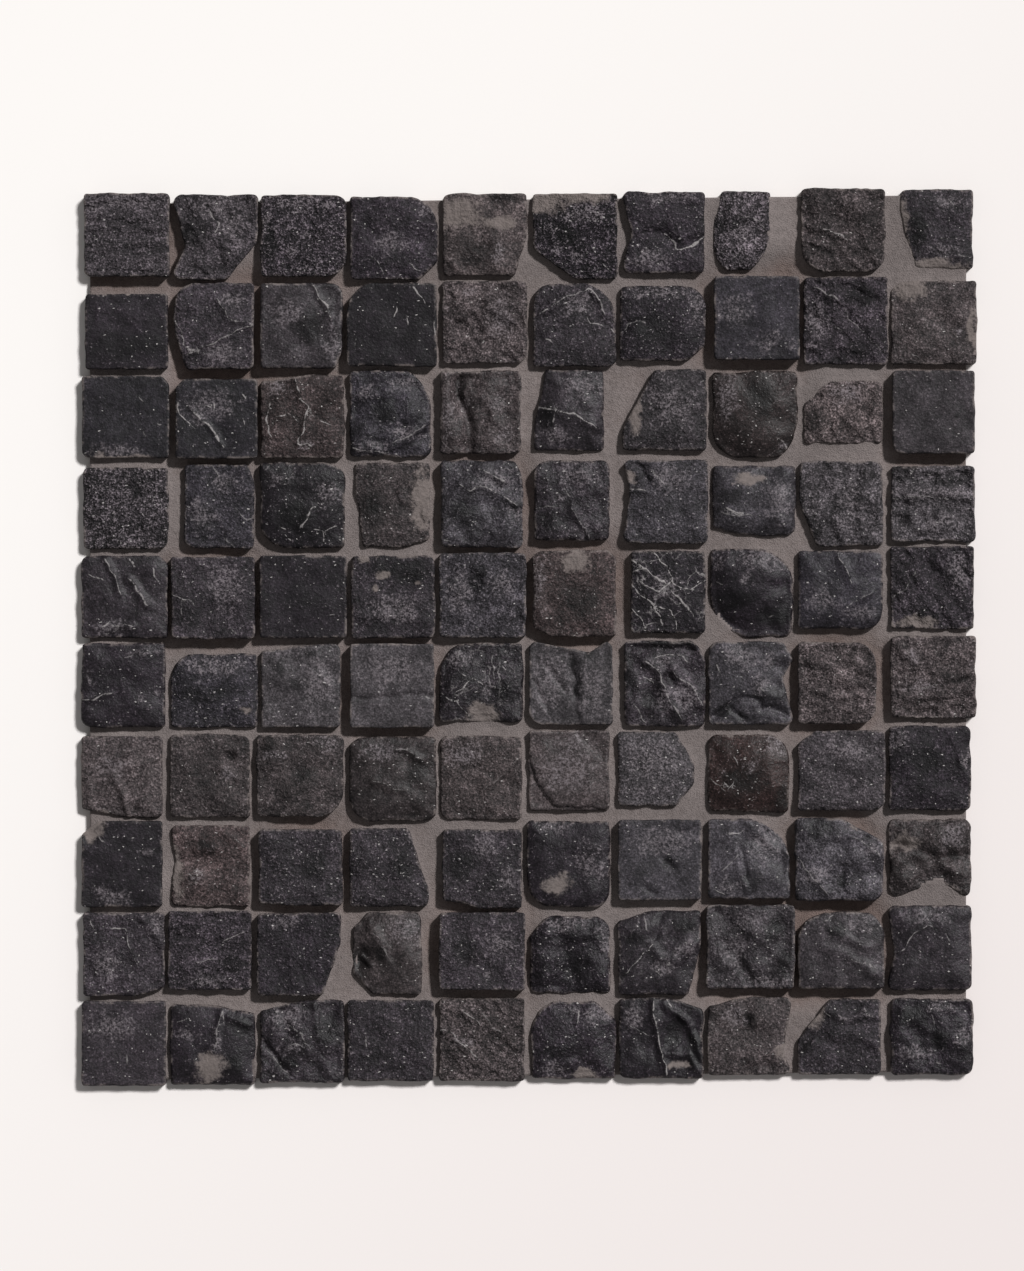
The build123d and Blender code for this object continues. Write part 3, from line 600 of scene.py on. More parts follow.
        Look(RUST, SMOOTH, DIM, 0.6,
            veins=(vein(20, 66, 30, 72, strength=0.7), vein(24, 72, 30, 66, strength=0.7),
                vein(80, 66, 85, 70, strength=0.7), vein(4, 60, 20, 74, strength=0.6),
                vein(30, 36, 34, 44, strength=0.7)),
            stains=(pale_and_sheen(50, 45, 12, 8), pale_and_sheen(80, 20, 20, 16), dark_and_shade(40, 60, 30, 16), dark_and_shade(85, 80, 10, 20)),
            dents=(hill(50, 62, 60, 1.8), Dent(95, 5, 40, 1.0))),
        Look(GREY, FINE, LIGHT, 0.5,
            stains=(pale_and_sheen(60, 30, 30, 16),)),
        Look(BLACK, FINE, PLAIN, 0.3, crown=1.4,
            stains=(pale_and_sheen(12, 20, 14, 20), pale_and_sheen(90, 40, 6, 20), dark_and_shade(45, 40, 25, 20)),
            dents=(Dent(95, 50, 16, 0.8), Dent(92, 25, 8, 0.6)),
            ridges=(ridge(84, 40, 90, 65, width=1.2, height=0.8),)),
    ),
    (  # row 8
        Look(BLACK, FLAT, DIM, 0.3,
            veins=(vein(18, 10, 22, 20, 28, 24, strength=0.6),),
            stains=(film(12, 10, 16, 15), pale_and_sheen(37, 84, 24, 12), pale_and_sheen(74, 36, 6, 8), pale_and_sheen(20, 76, 10, 6)),
            dents=(Dent(10, 10, 22, 1.4),)),
        Look(BROWN, FINE, PALE, 0.25, lay=-30, bands=0.4, bank=2.2,
            veins=(vein(20, 58, 28, 66), vein(26, 56, 36, 60), vein(22, 70, 32, 72),
                vein(70, 16, 82, 30, strength=0.5)),
            stains=(dark_and_shade(40, 30, 12, 8), film(8, 60, 10, 35), pale_and_sheen(30, 64, 12, 10)),
            ridges=(ridge(30, 34, 50, 32, width=1.4, height=1), ridge(16, 60, 36, 62, width=1.2, height=1),
                ridge(60, 12, 84, 30, width=1.2, height=0.7))),
        Look(CHARCOAL, FINE, PLAIN, 0.8, bank=-0.5, crown=0.7,
            stains=(dark_and_shade(60, 50, 20, 20),)),
        Look(CHARCOAL, FINE, PLAIN, 0.8, crown=1.4,
            stains=(pale_and_sheen(75, 20, 20, 12), dark_and_shade(60, 55, 16, 20)),
            dents=(Dent(100, 50, 40, 1.2),)),
        Look(CHARCOAL, FINE, PLAIN, 0.5, crown=0.7,
            veins=(vein(50, 32, 56, 36),),
            stains=(pale_and_sheen(52, 34, 16, 16), pale_and_sheen(75, 70, 16, 16), dark_and_shade(25, 55, 20, 25))),
        Look(BLACK, SMOOTH, PLAIN, 0.3,
            stains=(film(33, 76, 20, 15), pale_and_sheen(70, 50, 20, 25), pale_and_sheen(30, 12, 25, 8))),
        Look(STEEL, FLAT, PLAIN, 0.25,
            stains=(pale_and_sheen(50, 30, 40, 20), dark_and_shade(56, 54, 5, 6)),
            dents=(Dent(58, 56, 8, 0.6),),
            ridges=(ridge(70, 20, 86, 14, width=1.0, height=-0.7),
                ridge(50, 48, 62, 58, width=0.9, height=-0.7), ridge(30, 80, 40, 88, width=0.9, height=-0.6))),
        Look(STEEL, SMOOTH, LIGHT, 0.4, crown=0.4,
            veins=(vein(16, 64, 30, 50, 36, 44), vein(26, 20, 40, 18, strength=0.7),
                vein(8, 85, 20, 90, strength=0.7)),
            # the pale patch towards the north-east is a painted sheen on the slope
            stains=(pale_and_sheen(66, 30, 28, 26), pale_and_sheen(25, 80, 20, 12), dark_and_shade(50, 70, 14, 20)),
            dents=(Dent(100, 5, 75, 4.0),),
            ridges=(ridge(44, 6, 52, 18, 75, 32, 92, 48, width=1.8, height=1.1),
                ridge(33, 42, 37, 68, 45, 86, width=1.0, height=1.1),
                ridge(38, 42, 42, 68, width=1.0, height=-0.8))),
        Look(STEEL, LUMPY, LIGHT, 0.5, lay=-48, bands=0.3, bank=-0.6,
            veins=(vein(2, 50, 18, 73, 37, 91), vein(63, 28, 78, 34, 93, 48)),
            stains=(pale_and_sheen(20, 70, 20, 14), pale_and_sheen(85, 40, 12, 12), dark_and_shade(25, 15, 20, 14), dark_and_shade(52, 75, 5, 12),
                film(74, 7, 24, 13)),
            dents=(Dent(78, 4, 24, 2.0),),
            ridges=(ridge(4, 50, 18, 70, 37, 90, width=2.0, height=1),
                ridge(60, 26, 78, 34, 93, 50, width=1.5, height=1.3),
                ridge(50, 60, 53, 88, width=1.0, height=-1))),
        Look(OLIVE, LUMPY, PLAIN, 0.25, lay=-30, bands=0.2, bank=2.0,
            stains=(film(20, 33, 22, 12), film(62, 90, 24, 12), dark_and_shade(75, 50, 10, 6), pale_and_sheen(75, 25, 20, 20)),
            dents=(hill(72, 28, 36, 1.6), hill(16, 72, 26, 1.0), Dent(14, 34, 20, 1.2)),
            ridges=(ridge(10, 36, 36, 40, 55, 52, 95, 46, width=1.6, height=-1.4),
                ridge(60, 58, 90, 70, width=1.4, height=0.8))),
    ),
    (  # row 9
        Look(CHARCOAL, FINE, LIGHT, 0.5, crown=0.4,
            veins=(vein(34, 20, 50, 22, 56, 40, 64, 62, strength=0.8), vein(12, 12, 16, 24, strength=0.7)),
            stains=(pale_and_sheen(85, 20, 14, 20), pale_and_sheen(30, 60, 20, 20)),
            ridges=(ridge(50, 22, 64, 62, width=0.9, height=0.6), ridge(70, 10, 92, 40, width=1.4, height=0.7))),
        Look(CHARCOAL, RIPPLED, LIGHT, 0.35, lay=18, bands=0.4,
            veins=(vein(60, 36, 82, 24, strength=0.7), vein(30, 58, 50, 56, strength=0.5)),
            stains=(pale_and_sheen(40, 80, 30, 10), dark_and_shade(70, 60, 20, 10))),
        Look(BLACK, FINE, PLAIN, 0.4, crown=0.4,
            stains=(pale_and_sheen(88, 75, 8, 16), pale_and_sheen(25, 15, 20, 10)),
            dents=(Dent(100, 80, 24, 1.0),)),
        Look(OLIVE, SMOOTH, PLAIN, 0.25,
            veins=(vein(38, 44, 44, 56, strength=0.5),),
            stains=(dark_and_shade(14, 60, 14, 22), dark_and_shade(36, 55, 6, 14), pale_and_sheen(65, 25, 25, 16)),
            dents=(hill(66, 50, 42, 1.4), Dent(10, 58, 26, 2.6), Dent(20, 10, 20, 0.9)),
            ridges=(ridge(22, 16, 30, 32, 42, 46, 44, 62, width=1.4, height=1.1),
                ridge(14, 55, 24, 62, width=1.0, height=1.1))),
        Look(CHARCOAL, FINE, LIGHT, 0.6, bank=-0.8, crown=0.3,
            stains=(pale_and_sheen(55, 76, 10, 5), dark_and_shade(30, 50, 20, 20), pale_and_sheen(70, 40, 20, 16))),
        Look(BLACK, LUMPY, PLAIN, 0.6, bank=1.8, crown=1.4,
            stains=(pale_and_sheen(45, 20, 30, 12), pale_and_sheen(86, 36, 10, 20), film(30, 5, 30, 7), dark_and_shade(50, 65, 22, 20)),
            dents=(hill(50, 22, 26, 1.3), Dent(50, 68, 30, 1.2))),
        Look(CHARCOAL, SMOOTH, PLAIN, 0.45, web=0.3,
            veins=(vein(28, 14, 32, 28), vein(8, 75, 24, 58, 38, 44, strength=0.8), vein(42, 74, 48, 80),
                vein(50, 68, 58, 66)),
            stains=(pale_and_sheen(50, 70, 16, 14), pale_and_sheen(78, 50, 16, 14), dark_and_shade(75, 22, 18, 14), dark_and_shade(20, 40, 14, 12)),
            ridges=(ridge(8, 75, 38, 44, 46, 58, 68, 64, 92, 38, width=1.2, height=1),
                ridge(50, 12, 40, 40, width=1.0, height=-0.7))),
        Look(GREY, LUMPY, PLAIN, 0.35, bank=-0.6, crown=0.2,
            stains=(pale_and_sheen(30, 55, 20, 20), pale_and_sheen(65, 85, 25, 10), pale_and_sheen(40, 20, 16, 10), dark_and_shade(75, 30, 12, 20),
                dark_and_shade(85, 65, 10, 20)),
            ledges=(ledge(95, 75, 30, 20, step=0.7),),
            ridges=(ridge(5, 60, 45, 25, width=2.2, height=1.2), ridge(50, 85, 20, 45, width=1.6, height=-0.9))),
        Look(GREY, SMOOTH, PLAIN, 0.35, lay=-25, bands=0.3, bank=-0.8, crown=0.7,
            veins=(vein(30, 20, 40, 14, strength=0.6), vein(60, 62, 90, 72, strength=0.5)),
            stains=(dark_and_shade(46, 30, 16, 10), pale_and_sheen(75, 25, 20, 10)),
            ridges=(ridge(30, 50, 55, 56, 90, 80, width=1.6, height=1),
                ridge(40, 30, 80, 50, width=1.4, height=0.8))),
        Look(CHARCOAL, SMOOTH, PLAIN, 0.35,
            veins=(vein(4, 58, 20, 52, 28, 34, 46, 26, 55, 32, strength=0.7), vein(66, 30, 70, 44, strength=0.5)),
            stains=(pale_and_sheen(50, 15, 30, 10),),
            dents=(Dent(8, 35, 20, 0.8),),
            ridges=(ridge(4, 58, 20, 52, 28, 34, 46, 26, width=1.0, height=0.7),)),
    ),
    (  # row 10
        Look(CHARCOAL, FLAT, LIGHT, 0.35, bank=2.0,
            veins=(vein(52, 70, 54, 62, strength=0.6), vein(10, 36, 14, 38)),
            stains=(pale_and_sheen(35, 30, 30, 20),)),
        Look(BLACK, SMOOTH, PLAIN, 0.35,
            veins=(vein(50, 60, 54, 34, 58, 12), vein(58, 12, 62, 30, strength=0.7),
                vein(10, 25, 20, 22, strength=0.6)),
            stains=(film(45, 77, 22, 19), pale_and_sheen(52, 50, 7, 16), pale_and_sheen(20, 40, 14, 8), dark_and_shade(80, 30, 14, 16),
                dark_and_shade(75, 75, 14, 16)),
            ridges=(ridge(50, 60, 54, 34, 58, 10, width=1.2, height=0.7),
                ridge(66, 20, 90, 30, width=1.2, height=0.7))),
        Look(CHARCOAL, LUMPY, PLAIN, 0.5, lay=-50, bands=0.3, crown=0.6,
            veins=(vein(34, 29, 48, 40, 57, 58), vein(5, 55, 20, 72, 34, 85), vein(30, 55, 40, 50, 50, 56)),
            stains=(pale_and_sheen(30, 20, 24, 14), pale_and_sheen(35, 55, 14, 12), dark_and_shade(75, 35, 18, 20), dark_and_shade(30, 72, 16, 10)),
            dents=(Dent(32, 44, 12, 0.8),),
            ridges=(ridge(36, 25, 50, 42, 56, 62, width=1.2, height=1.3),
                ridge(5, 50, 34, 85, width=1.0, height=-1.1), ridge(62, 10, 66, 40, width=1.2, height=1))),
        Look(CHARCOAL, FINE, PLAIN, 0.45,
            veins=(vein(18, 56, 20, 44, strength=0.6),)),
        Look(OLIVE, RIPPLED, LIGHT, 0.2, lay=-42, bands=0.4, bank=2.0,
            veins=(vein(2, 36, 18, 45, 30, 56, 44, 68, strength=0.7, crest=(1.4, 1.1)),
                vein(28, 14, 46, 32, strength=0.6, crest=(1.2, 0.7)), vein(50, 20, 70, 42, strength=0.4)),
            stains=(pale_and_sheen(30, 50, 14, 8),)),
        Look(BLACK, LUMPY, LIGHT, 0.45,
            veins=(vein(56, 12, 56, 30, strength=0.7),),
            stains=(film(62, 87, 18, 6), pale_and_sheen(78, 22, 20, 14), pale_and_sheen(30, 82, 16, 10), pale_and_sheen(50, 16, 10, 8),
                dark_and_shade(40, 62, 30, 10)),
            dents=(hill(55, 42, 45, 1.2), Dent(62, 16, 12, 0.8))),
        Look(BLACK, SMOOTH, DIM, 0.3, crown=0.4,
            veins=(vein(40, 4, 42, 34, 50, 66, 55, 90, strength=0.8, crest=(1.2, 1.3)),
                vein(14, 34, 34, 46, strength=0.6), vein(54, 6, 60, 14, strength=0.8)),
            stains=(film(66, 78, 16, 7), dark_and_shade(62, 45, 10, 20), dark_and_shade(86, 60, 10, 25), pale_and_sheen(18, 25, 14, 20)),
            dents=(Dent(72, 42, 28, 1.8), Dent(76, 72, 16, 1.2)),
            ridges=(ridge(50, 10, 78, 30, 95, 70, width=1.3, height=1.3),
                ridge(56, 66, 80, 68, 95, 92, width=1.2, height=1.1))),
        Look(OLIVE, FINE, LIGHT, 0.35, lay=25, bands=0.3,
            stains=(dark_and_shade(50, 28, 10, 14), film(84, 66, 12, 10), pale_and_sheen(30, 25, 20, 14)),
            dents=(hill(57, 26, 16, 1.2), Dent(44, 34, 12, 1.0), Dent(70, 80, 14, 0.9)),
            ridges=(ridge(34, 15, 42, 38, 56, 34, width=1.1, height=1.1),
                ridge(50, 75, 80, 60, width=1.2, height=1))),
        Look(CHARCOAL, FINE, PLAIN, 0.35,
            veins=(vein(30, 22, 36, 27, strength=0.7), vein(76, 20, 82, 25)),
            stains=(pale_and_sheen(50, 28, 12, 5), pale_and_sheen(78, 24, 8, 5), film(20, 25, 14, 20), dark_and_shade(10, 60, 10, 14)),
            ridges=(ridge(28, 18, 50, 28, 90, 24, width=1.4, height=1),
                ridge(5, 70, 20, 55, width=1.2, height=1), ridge(40, 50, 62, 42, 90, 60, width=1.6, height=0.9))),
        Look(BLACK, LUMPY, PLAIN, 0.4, crown=0.8,
            veins=(vein(50, 28, 54, 34), vein(56, 78, 62, 80)),
            stains=(pale_and_sheen(60, 16, 20, 10), pale_and_sheen(30, 70, 20, 14), pale_and_sheen(85, 50, 10, 20), dark_and_shade(30, 30, 16, 16),
                dark_and_shade(60, 55, 14, 16)),
            dents=(hill(55, 20, 20, 1.2), Dent(35, 45, 16, 0.9), hill(80, 60, 16, 0.8))),
    ),
)


# ---------------------------------------------------------------- shader expressions


@dataclass(frozen=True)
class Cloud:
    """Soft noise: the width of its blots in millimetres, its finer layers, and how strong those are."""

    size: float
    detail: float
    rough: float = 0.5


class Net:
    """The nodes of one material or of the world, cleared and ready to be filled."""

    def __init__(self, owner: bpy.types.ID) -> None:
        """Clears the owner's node tree."""
        owner.use_nodes = True
        self.tree = owner.node_tree
        self.tree.nodes.clear()

    def add(self, kind: str, settings: dict | None = None, sockets: dict | None = None) -> bpy.types.Node:
        """Adds a node.

        Args:
            kind: the node's type.
            settings: its own properties, set first.
            sockets: values or links for its inputs, by name or number.

        Returns:
            The node.
        """
        node = self.tree.nodes.new(kind)
        for name, value in (settings or {}).items():
            setattr(node, name, value)
        for key, value in (sockets or {}).items():
            self.put(node.inputs[key], value)
        return node

    def put(self, socket: bpy.types.NodeSocket, value: object) -> None:
        """Links a value or a socket into an input, or sets its number or colour."""
        if isinstance(value, Value):
            value = value.socket
        if isinstance(value, bpy.types.NodeSocket):
            self.tree.links.new(value, socket)
        else:
            socket.default_value = value

    def attribute(self, name: str) -> "Value":
        """A number that the mesh carries at its vertices."""
        return Value(self, self.add("ShaderNodeAttribute", {"attribute_name": name}).outputs["Fac"])

    def colour_attribute(self, name: str) -> bpy.types.NodeSocket:
        """A colour that the mesh carries at its vertices."""
        return self.add("ShaderNodeAttribute", {"attribute_name": name}).outputs["Color"]

    def place(self) -> bpy.types.NodeSocket:
        """The point on the piece, in metres."""
        return self.add("ShaderNodeTexCoord").outputs["Object"]

    def cloud(self, place: bpy.types.NodeSocket, cloud: Cloud) -> "Value":
        """Soft noise about 0, read at a point."""
        sockets = {"Vector": place, "Scale": 1 / (cloud.size * MM), "Detail": cloud.detail, "Roughness": cloud.rough}
        return Value(self, self.add("ShaderNodeTexNoise", None, sockets).outputs["Fac"]) - 0.5

    def swayed(self, place: bpy.types.NodeSocket, waves: float, detail: float, reach: tuple) -> bpy.types.NodeSocket:
        """A point moved about by noise.

        Args:
            place: the point.
            waves: the noise's waves in a metre.
            detail: its finer layers.
            reach: how far it moves the point along each axis, in metres.

        Returns:
            The moved point.
        """
        sway = self.add("ShaderNodeTexNoise", None, {"Vector": place, "Scale": waves, "Detail": detail})
        sockets = {0: sway.outputs["Color"], 1: reach, 2: place}
        return self.add("ShaderNodeVectorMath", {"operation": "MULTIPLY_ADD"}, sockets).outputs[0]

    def principled(self, sockets: dict) -> None:
        """Ends a material in its shader."""
        shader = self.add("ShaderNodeBsdfPrincipled", None, sockets)
        self.add("ShaderNodeOutputMaterial", None, {"Surface": shader.outputs[0]})

    def mix(self, share: "Value", first: object, second: object) -> bpy.types.NodeSocket:
        """A colour between two."""
        node = self.add("ShaderNodeMix", {"data_type": "RGBA"}, {0: share, 6: first, 7: second})
        return node.outputs[2]

    def scaled(self, colour: object, share: "Value") -> bpy.types.NodeSocket:
        """A colour made lighter or darker."""
        node = self.add("ShaderNodeVectorMath", {"operation": "SCALE"}, {0: colour, "Scale": share})
        return node.outputs[0]


class Value:
    """A number in a shader: arithmetic on it adds Math nodes."""

    def __init__(self, net: Net, socket: bpy.types.NodeSocket) -> None:
        """Wraps a socket of the net."""
        self.net = net
        self.socket = socket

    def _math(self, operation: str, first: object, second: object) -> "Value":
        """Adds one Math node."""
        node = self.net.add("ShaderNodeMath", {"operation": operation}, {0: first, 1: second})
        return Value(self.net, node.outputs[0])

    def __add__(self, other: object) -> "Value":
        """self + other."""
        return self._math("ADD", self, other)

    def __radd__(self, other: object) -> "Value":
        """other + self."""
        return self._math("ADD", other, self)

    def __sub__(self, other: object) -> "Value":
        """self - other."""
        return self._math("SUBTRACT", self, other)

    def __rsub__(self, other: object) -> "Value":
        """other - self."""
        return self._math("SUBTRACT", other, self)

    def __mul__(self, other: object) -> "Value":
        """self * other."""
        return self._math("MULTIPLY", self, other)

    def __rmul__(self, other: object) -> "Value":
        """other * self."""
        return self._math("MULTIPLY", other, self)

    def __truediv__(self, other: object) -> "Value":
        """self / other."""
        return self._math("DIVIDE", self, other)

    def __rpow__(self, other: object) -> "Value":
        """other ** self."""
        return self._math("POWER", other, self)

    def __abs__(self) -> "Value":
        """The size of the number."""
        return self._math("ABSOLUTE", self, 0.0)

    def above(self, other: object) -> "Value":
        """1 where the number is greater than the other, else 0."""
        return self._math("GREATER_THAN", self, other)

    def ramp(self, low: float, high: float) -> "Value":
        """A smooth step from 0 at low to 1 at high, which may be the lesser."""
        if low > high:
            return 1 - self.ramp(high, low)
        settings = {"interpolation_type": "SMOOTHSTEP"}
        node = self.net.add("ShaderNodeMapRange", settings, {"Value": self, "From Min": low, "From Max": high})
        return Value(self.net, node.outputs["Result"])


# ---------------------------------------------------------------- finishes


@dataclass(frozen=True)
class StoneFinish:
    """Tumbled stone, matt to dull satin, read from what each cobble's vertices carry."""

    speck: tuple[float, float, float] = linear(190, 185, 183)
    vein: tuple[float, float, float] = linear(152, 147, 146)
    # colour of the pale mineral patches and the painted sheens, and of the pale flecks
    pale_and_sheen: tuple[float, float, float] = linear(115, 107.5, 111)
    film: tuple[float, float, float] = linear(112, 103, 100)
    broad: Cloud = Cloud(8.0, 3.0)
    mottle: Cloud = Cloud(2.6, 4.0, 0.62)
    grit: Cloud = Cloud(1.0, 2.0, 0.6)
    grain: Cloud = Cloud(0.58, 1.0)
    strata: Cloud = Cloud(1.6, 3.0, 0.6)
    dimmed: float = 1.08  # stops that its blots take from its tone
    banded: float = 3.0  # stops between its layers
    darkening_and_shade: float = 1.6  # stops that its patches of darker stone and of painted shade lose
    roughness: float = 0.85
    satin: float = 0.36  # roughness that a smooth-worn face loses
    specular: float = 0.28
    meshes: float = 170.0  # meshes of its net of veins in a metre
    chosen: float = 0.36  # share of its grains that are white where specks is 1
    grains: tuple[tuple[float, float, float, float], ...] = (  # spacing in millimetres, reach, turn and slimness
        (1.2, 0.25, 0.0, 1.0),
        (2.4, 0.22, 0.6, 2.4),
        (2.6, 0.22, 2.1, 2.5),
    )

    def material(self) -> bpy.types.Material:
        """Builds the stone.

        Returns:
            The material.
        """
        made = bpy.data.materials.new("tumbled_stone")
        net = Net(made)
        place = net.place()
        coarse = net.attribute("coarse")
        broad, mottle, grit, grain = (net.cloud(place, c) for c in (self.broad, self.mottle, self.grit, self.grain))
        layers = net.add("ShaderNodeCombineXYZ", None, {"X": net.attribute("band") * MM, "Y": broad * 0.002})
        strata = net.cloud(layers.outputs[0], self.strata) * net.attribute("banding")
        blots = broad * 2.4 + mottle * (1.3 + coarse * 2.6)
        blots = blots + grit * (1.5 + coarse * 2.2) + grain * (2.6 + coarse * 3.2)
        # patches of darker stone, and in places of painted shade, take stops from the colour
        darkening_and_shade = (net.attribute("dark_and_shade") + mottle * 0.9).ramp(-0.05, 0.6)
        stops = blots * (1.36 + coarse * 0.6) - self.dimmed + strata * self.banded - darkening_and_shade * self.darkening_and_shade
        colour = net.scaled(net.colour_attribute("tone"), 2.0**stops)
        # patches of pale mineral, and in places painted sheens, pull the colour towards a pale grey
        pale_and_sheen_mask = (net.attribute("pale_and_sheen") + mottle * 2.0 + grit + broad).ramp(-0.05, 0.9)
        colour = net.mix(pale_and_sheen_mask * (0.26 + grit * 1.3 + grain * 1.2).ramp(-0.1, 0.9), colour, (*self.pale_and_sheen, 1))
        fleck = grit * 0.7 + grain * 0.7 + mottle * 0.35
        fleck = fleck + net.attribute("speck") * 0.05 + pale_and_sheen_mask * 0.1 + coarse * 0.12
        colour = net.mix(fleck.ramp(0.21, 0.31) * 0.6, colour, (*self.pale_and_sheen, 1))
        colour = net.mix(self.specks(net, place), colour, (*self.speck, 1))
        across = abs(net.attribute("across")) - mottle * 0.6
        line = across.ramp(0.34, 0.04) * net.attribute("vein") * (grit * 1.6 + mottle * 1.6).ramp(-0.45, 0.15)
        line = line + self.net_of_veins(net, place) * net.attribute("web") * (broad + mottle * 0.6).ramp(-0.12, 0.2)
        colour = net.mix(line.ramp(0.0, 1.0) * 0.9, colour, (*self.vein, 1))
        left = (net.attribute("film") + mottle + grit * 0.7).ramp(-0.1, 0.6)
        dust = net.attribute("edge").ramp(1.3, 0.1) * (mottle + grit * 0.6 + broad).ramp(-0.15, 0.25) * 0.7
        sand = net.scaled(self.film, 1 + mottle * 0.5 + grit * 0.6)
        colour = net.mix((left * 0.9 + dust).ramp(0.0, 1.0), colour, sand)
        height = mottle * (0.1 + coarse * 1.2) + grit * (0.06 + coarse * 1.15)
        height = height + grain * coarse * 0.25 + line * 0.08 + strata * 0.3
        bump = net.add("ShaderNodeBump", None, {"Strength": 1.0, "Distance": MM, "Height": height})
        net.principled({
            "Base Color": colour,
            "Roughness": self.roughness - net.attribute("satin") * self.satin + mottle * 0.25 + left * 0.3,
            "Specular IOR Level": self.specular,
            "Normal": bump.outputs[0],
        })
        return made

    def net_of_veins(self, net: Net, place: bpy.types.NodeSocket) -> Value:
        """Fine veins that meet in a net.

        Args:
            net: the material's nodes.
            place: the point on the piece.

        Returns:
            Where the veins show, from 0 to 1.
        """
        moved = net.swayed(place, 260.0, 3.0, (0.006, 0.006, 0.006))
        settings = {"feature": "DISTANCE_TO_EDGE"}
        cells = net.add("ShaderNodeTexVoronoi", settings, {"Vector": moved, "Scale": self.meshes})
        return Value(net, cells.outputs["Distance"]).ramp(0.06, 0.012)

    def specks(self, net: Net, place: bpy.types.NodeSocket) -> Value:
        """White grains in the stone.

        Args:
            net: the material's nodes.
            place: the point on the piece.

        Returns:
            Where the grains show, from 0 to 1.
        """
        amount = net.attribute("speck")
        moved = net.swayed(place, 900.0, 2.0, (0.001, 0.001, 0))
        shown = None
        for size, reach, turn, slim in self.grains:
            sockets = {"Vector": moved, "Rotation": (0, 0, turn), "Scale": (1, slim, 1)}
            laid = net.add("ShaderNodeMapping", None, sockets)
            cells = net.add("ShaderNodeTexVoronoi", None, {"Vector": laid.outputs[0], "Scale": 1 / (size * MM)})
            tint = net.add("ShaderNodeSeparateColor", None, {"Color": cells.outputs["Color"]})
            chosen = Value(net, tint.outputs[0]).above(1 - amount * self.chosen)
            grain = Value(net, cells.outputs["Distance"]).ramp(reach, reach * 0.4) * chosen
            grain = grain * Value(net, tint.outputs[1])
            shown = grain if shown is None else shown + grain
        return shown.ramp(0.05, 1.0) * 0.9


@dataclass(frozen=True)
class GroutFinish:
    """Sandy taupe grout, matt, with painted shade: darker and warmer where it lies low in the joints."""

    body: tuple[float, float, float] = linear(122, 113, 111)
    # painted shade: the darker, warmer colour of the grout that lies low in the joints
    deep: tuple[float, float, float] = linear(112, 97, 92)
    grain: tuple[float, float, float] = linear(88, 79, 77)
    broad: Cloud = Cloud(14.0, 3.0)
    mottle: Cloud = Cloud(1.8, 3.0, 0.6)
    sand: Cloud = Cloud(0.45, 2.0, 0.7)
    turns: tuple[float, float] = (5.6, 3.2)  # heights in millimetres from which and down to which the painted shade deepens
    roughness: float = 0.9
    specular: float = 0.2

    def material(self) -> bpy.types.Material:
        """Builds the grout.

        Returns:
            The material.
        """
        made = bpy.data.materials.new("sandy_grout")
        net = Net(made)
        place = net.place()
        broad, mottle, sand = (net.cloud(place, c) for c in (self.broad, self.mottle, self.sand))
        spread = net.add("ShaderNodeSeparateXYZ", None, {"Vector": place})
        # painted shade: the grout darkens and warms as it lies lower in the joints
        deep = (Value(net, spread.outputs["Z"]) / MM + mottle).ramp(*self.turns)
        colour = net.mix(deep, (*self.body, 1), (*self.deep, 1))
        colour = net.scaled(colour, 2.0 ** (broad * 0.9 + mottle * 0.8 + sand * 1.3))
        colour = net.mix((sand + mottle * 0.4).ramp(0.12, 0.3) * 0.5, colour, (*self.grain, 1))
        bump = net.add("ShaderNodeBump", None, {"Strength": 0.8, "Distance": MM / 2, "Height": sand + mottle * 0.6})
        net.principled({
            "Base Color": colour,
            "Roughness": self.roughness,
            "Specular IOR Level": self.specular,
            "Normal": bump.outputs[0],
        })
        return made


@dataclass(frozen=True)
class FloorFinish:
    """Warm white paper with painted shade: a little duller to the south-east."""

    near: tuple[float, float, float] = linear(253, 249, 246)
    far: tuple[float, float, float] = linear(240, 232, 230)
    turns: tuple[float, float] = (-0.3, 0.4)  # where on the diagonal it dulls, in metres

    def material(self) -> bpy.types.Material:
        """Builds the floor's paper.

        Returns:
            The material.
        """
        made = bpy.data.materials.new("white_paper")
        net = Net(made)
        spread = net.add("ShaderNodeSeparateXYZ", None, {"Vector": net.place()})
        diagonal = Value(net, spread.outputs["X"]) - Value(net, spread.outputs["Y"])
        # painted shade: the paper dulls along the diagonal towards the south-east
        colour = net.mix(diagonal.ramp(*self.turns), (*self.near, 1), (*self.far, 1))
        net.principled({"Base Color": colour, "Roughness": 1.0, "Specular IOR Level": 0.0})
        return made


# ---------------------------------------------------------------- shapes


def smooth_step(values: np.ndarray) -> np.ndarray:
    """Eases numbers from 0 to 1, and holds them there."""
    held = np.clip(values, 0.0, 1.0)
    return held * held * (3 - 2 * held)


def rolling(points: np.ndarray, size: float, seed: float, octaves: int = 1) -> np.ndarray:
    """Noise at points of the plan.

    Args:
        points: the points, in millimetres.
        size: width of its swells.
        seed: which noise it is.
        octaves: layers of it.

    Returns:
        About -0.7 to 0.7 at each point.
    """
    return np.array([noise.fractal((x / size, y / size, seed), 1.0, 2.0, octaves) for x, y in points])


def ridged(points: np.ndarray, seed: float) -> np.ndarray:
    """Sharp-crested noise at points of the plan, about 0 to 1, for split stone."""
    return np.array([noise.ridged_multi_fractal((x, y, seed), 1.0, 2.1, 3, 0.9, 1.6) for x, y in points]) * 0.6


def strayed(points: np.ndarray, seed: float) -> np.ndarray:
    """How far marks wander from where they are drawn, along both axes, at points of the plan."""
    return np.stack([rolling(points, 4.0, seed + 7, 2), rolling(points, 4.0, seed + 8, 2)], axis=1)


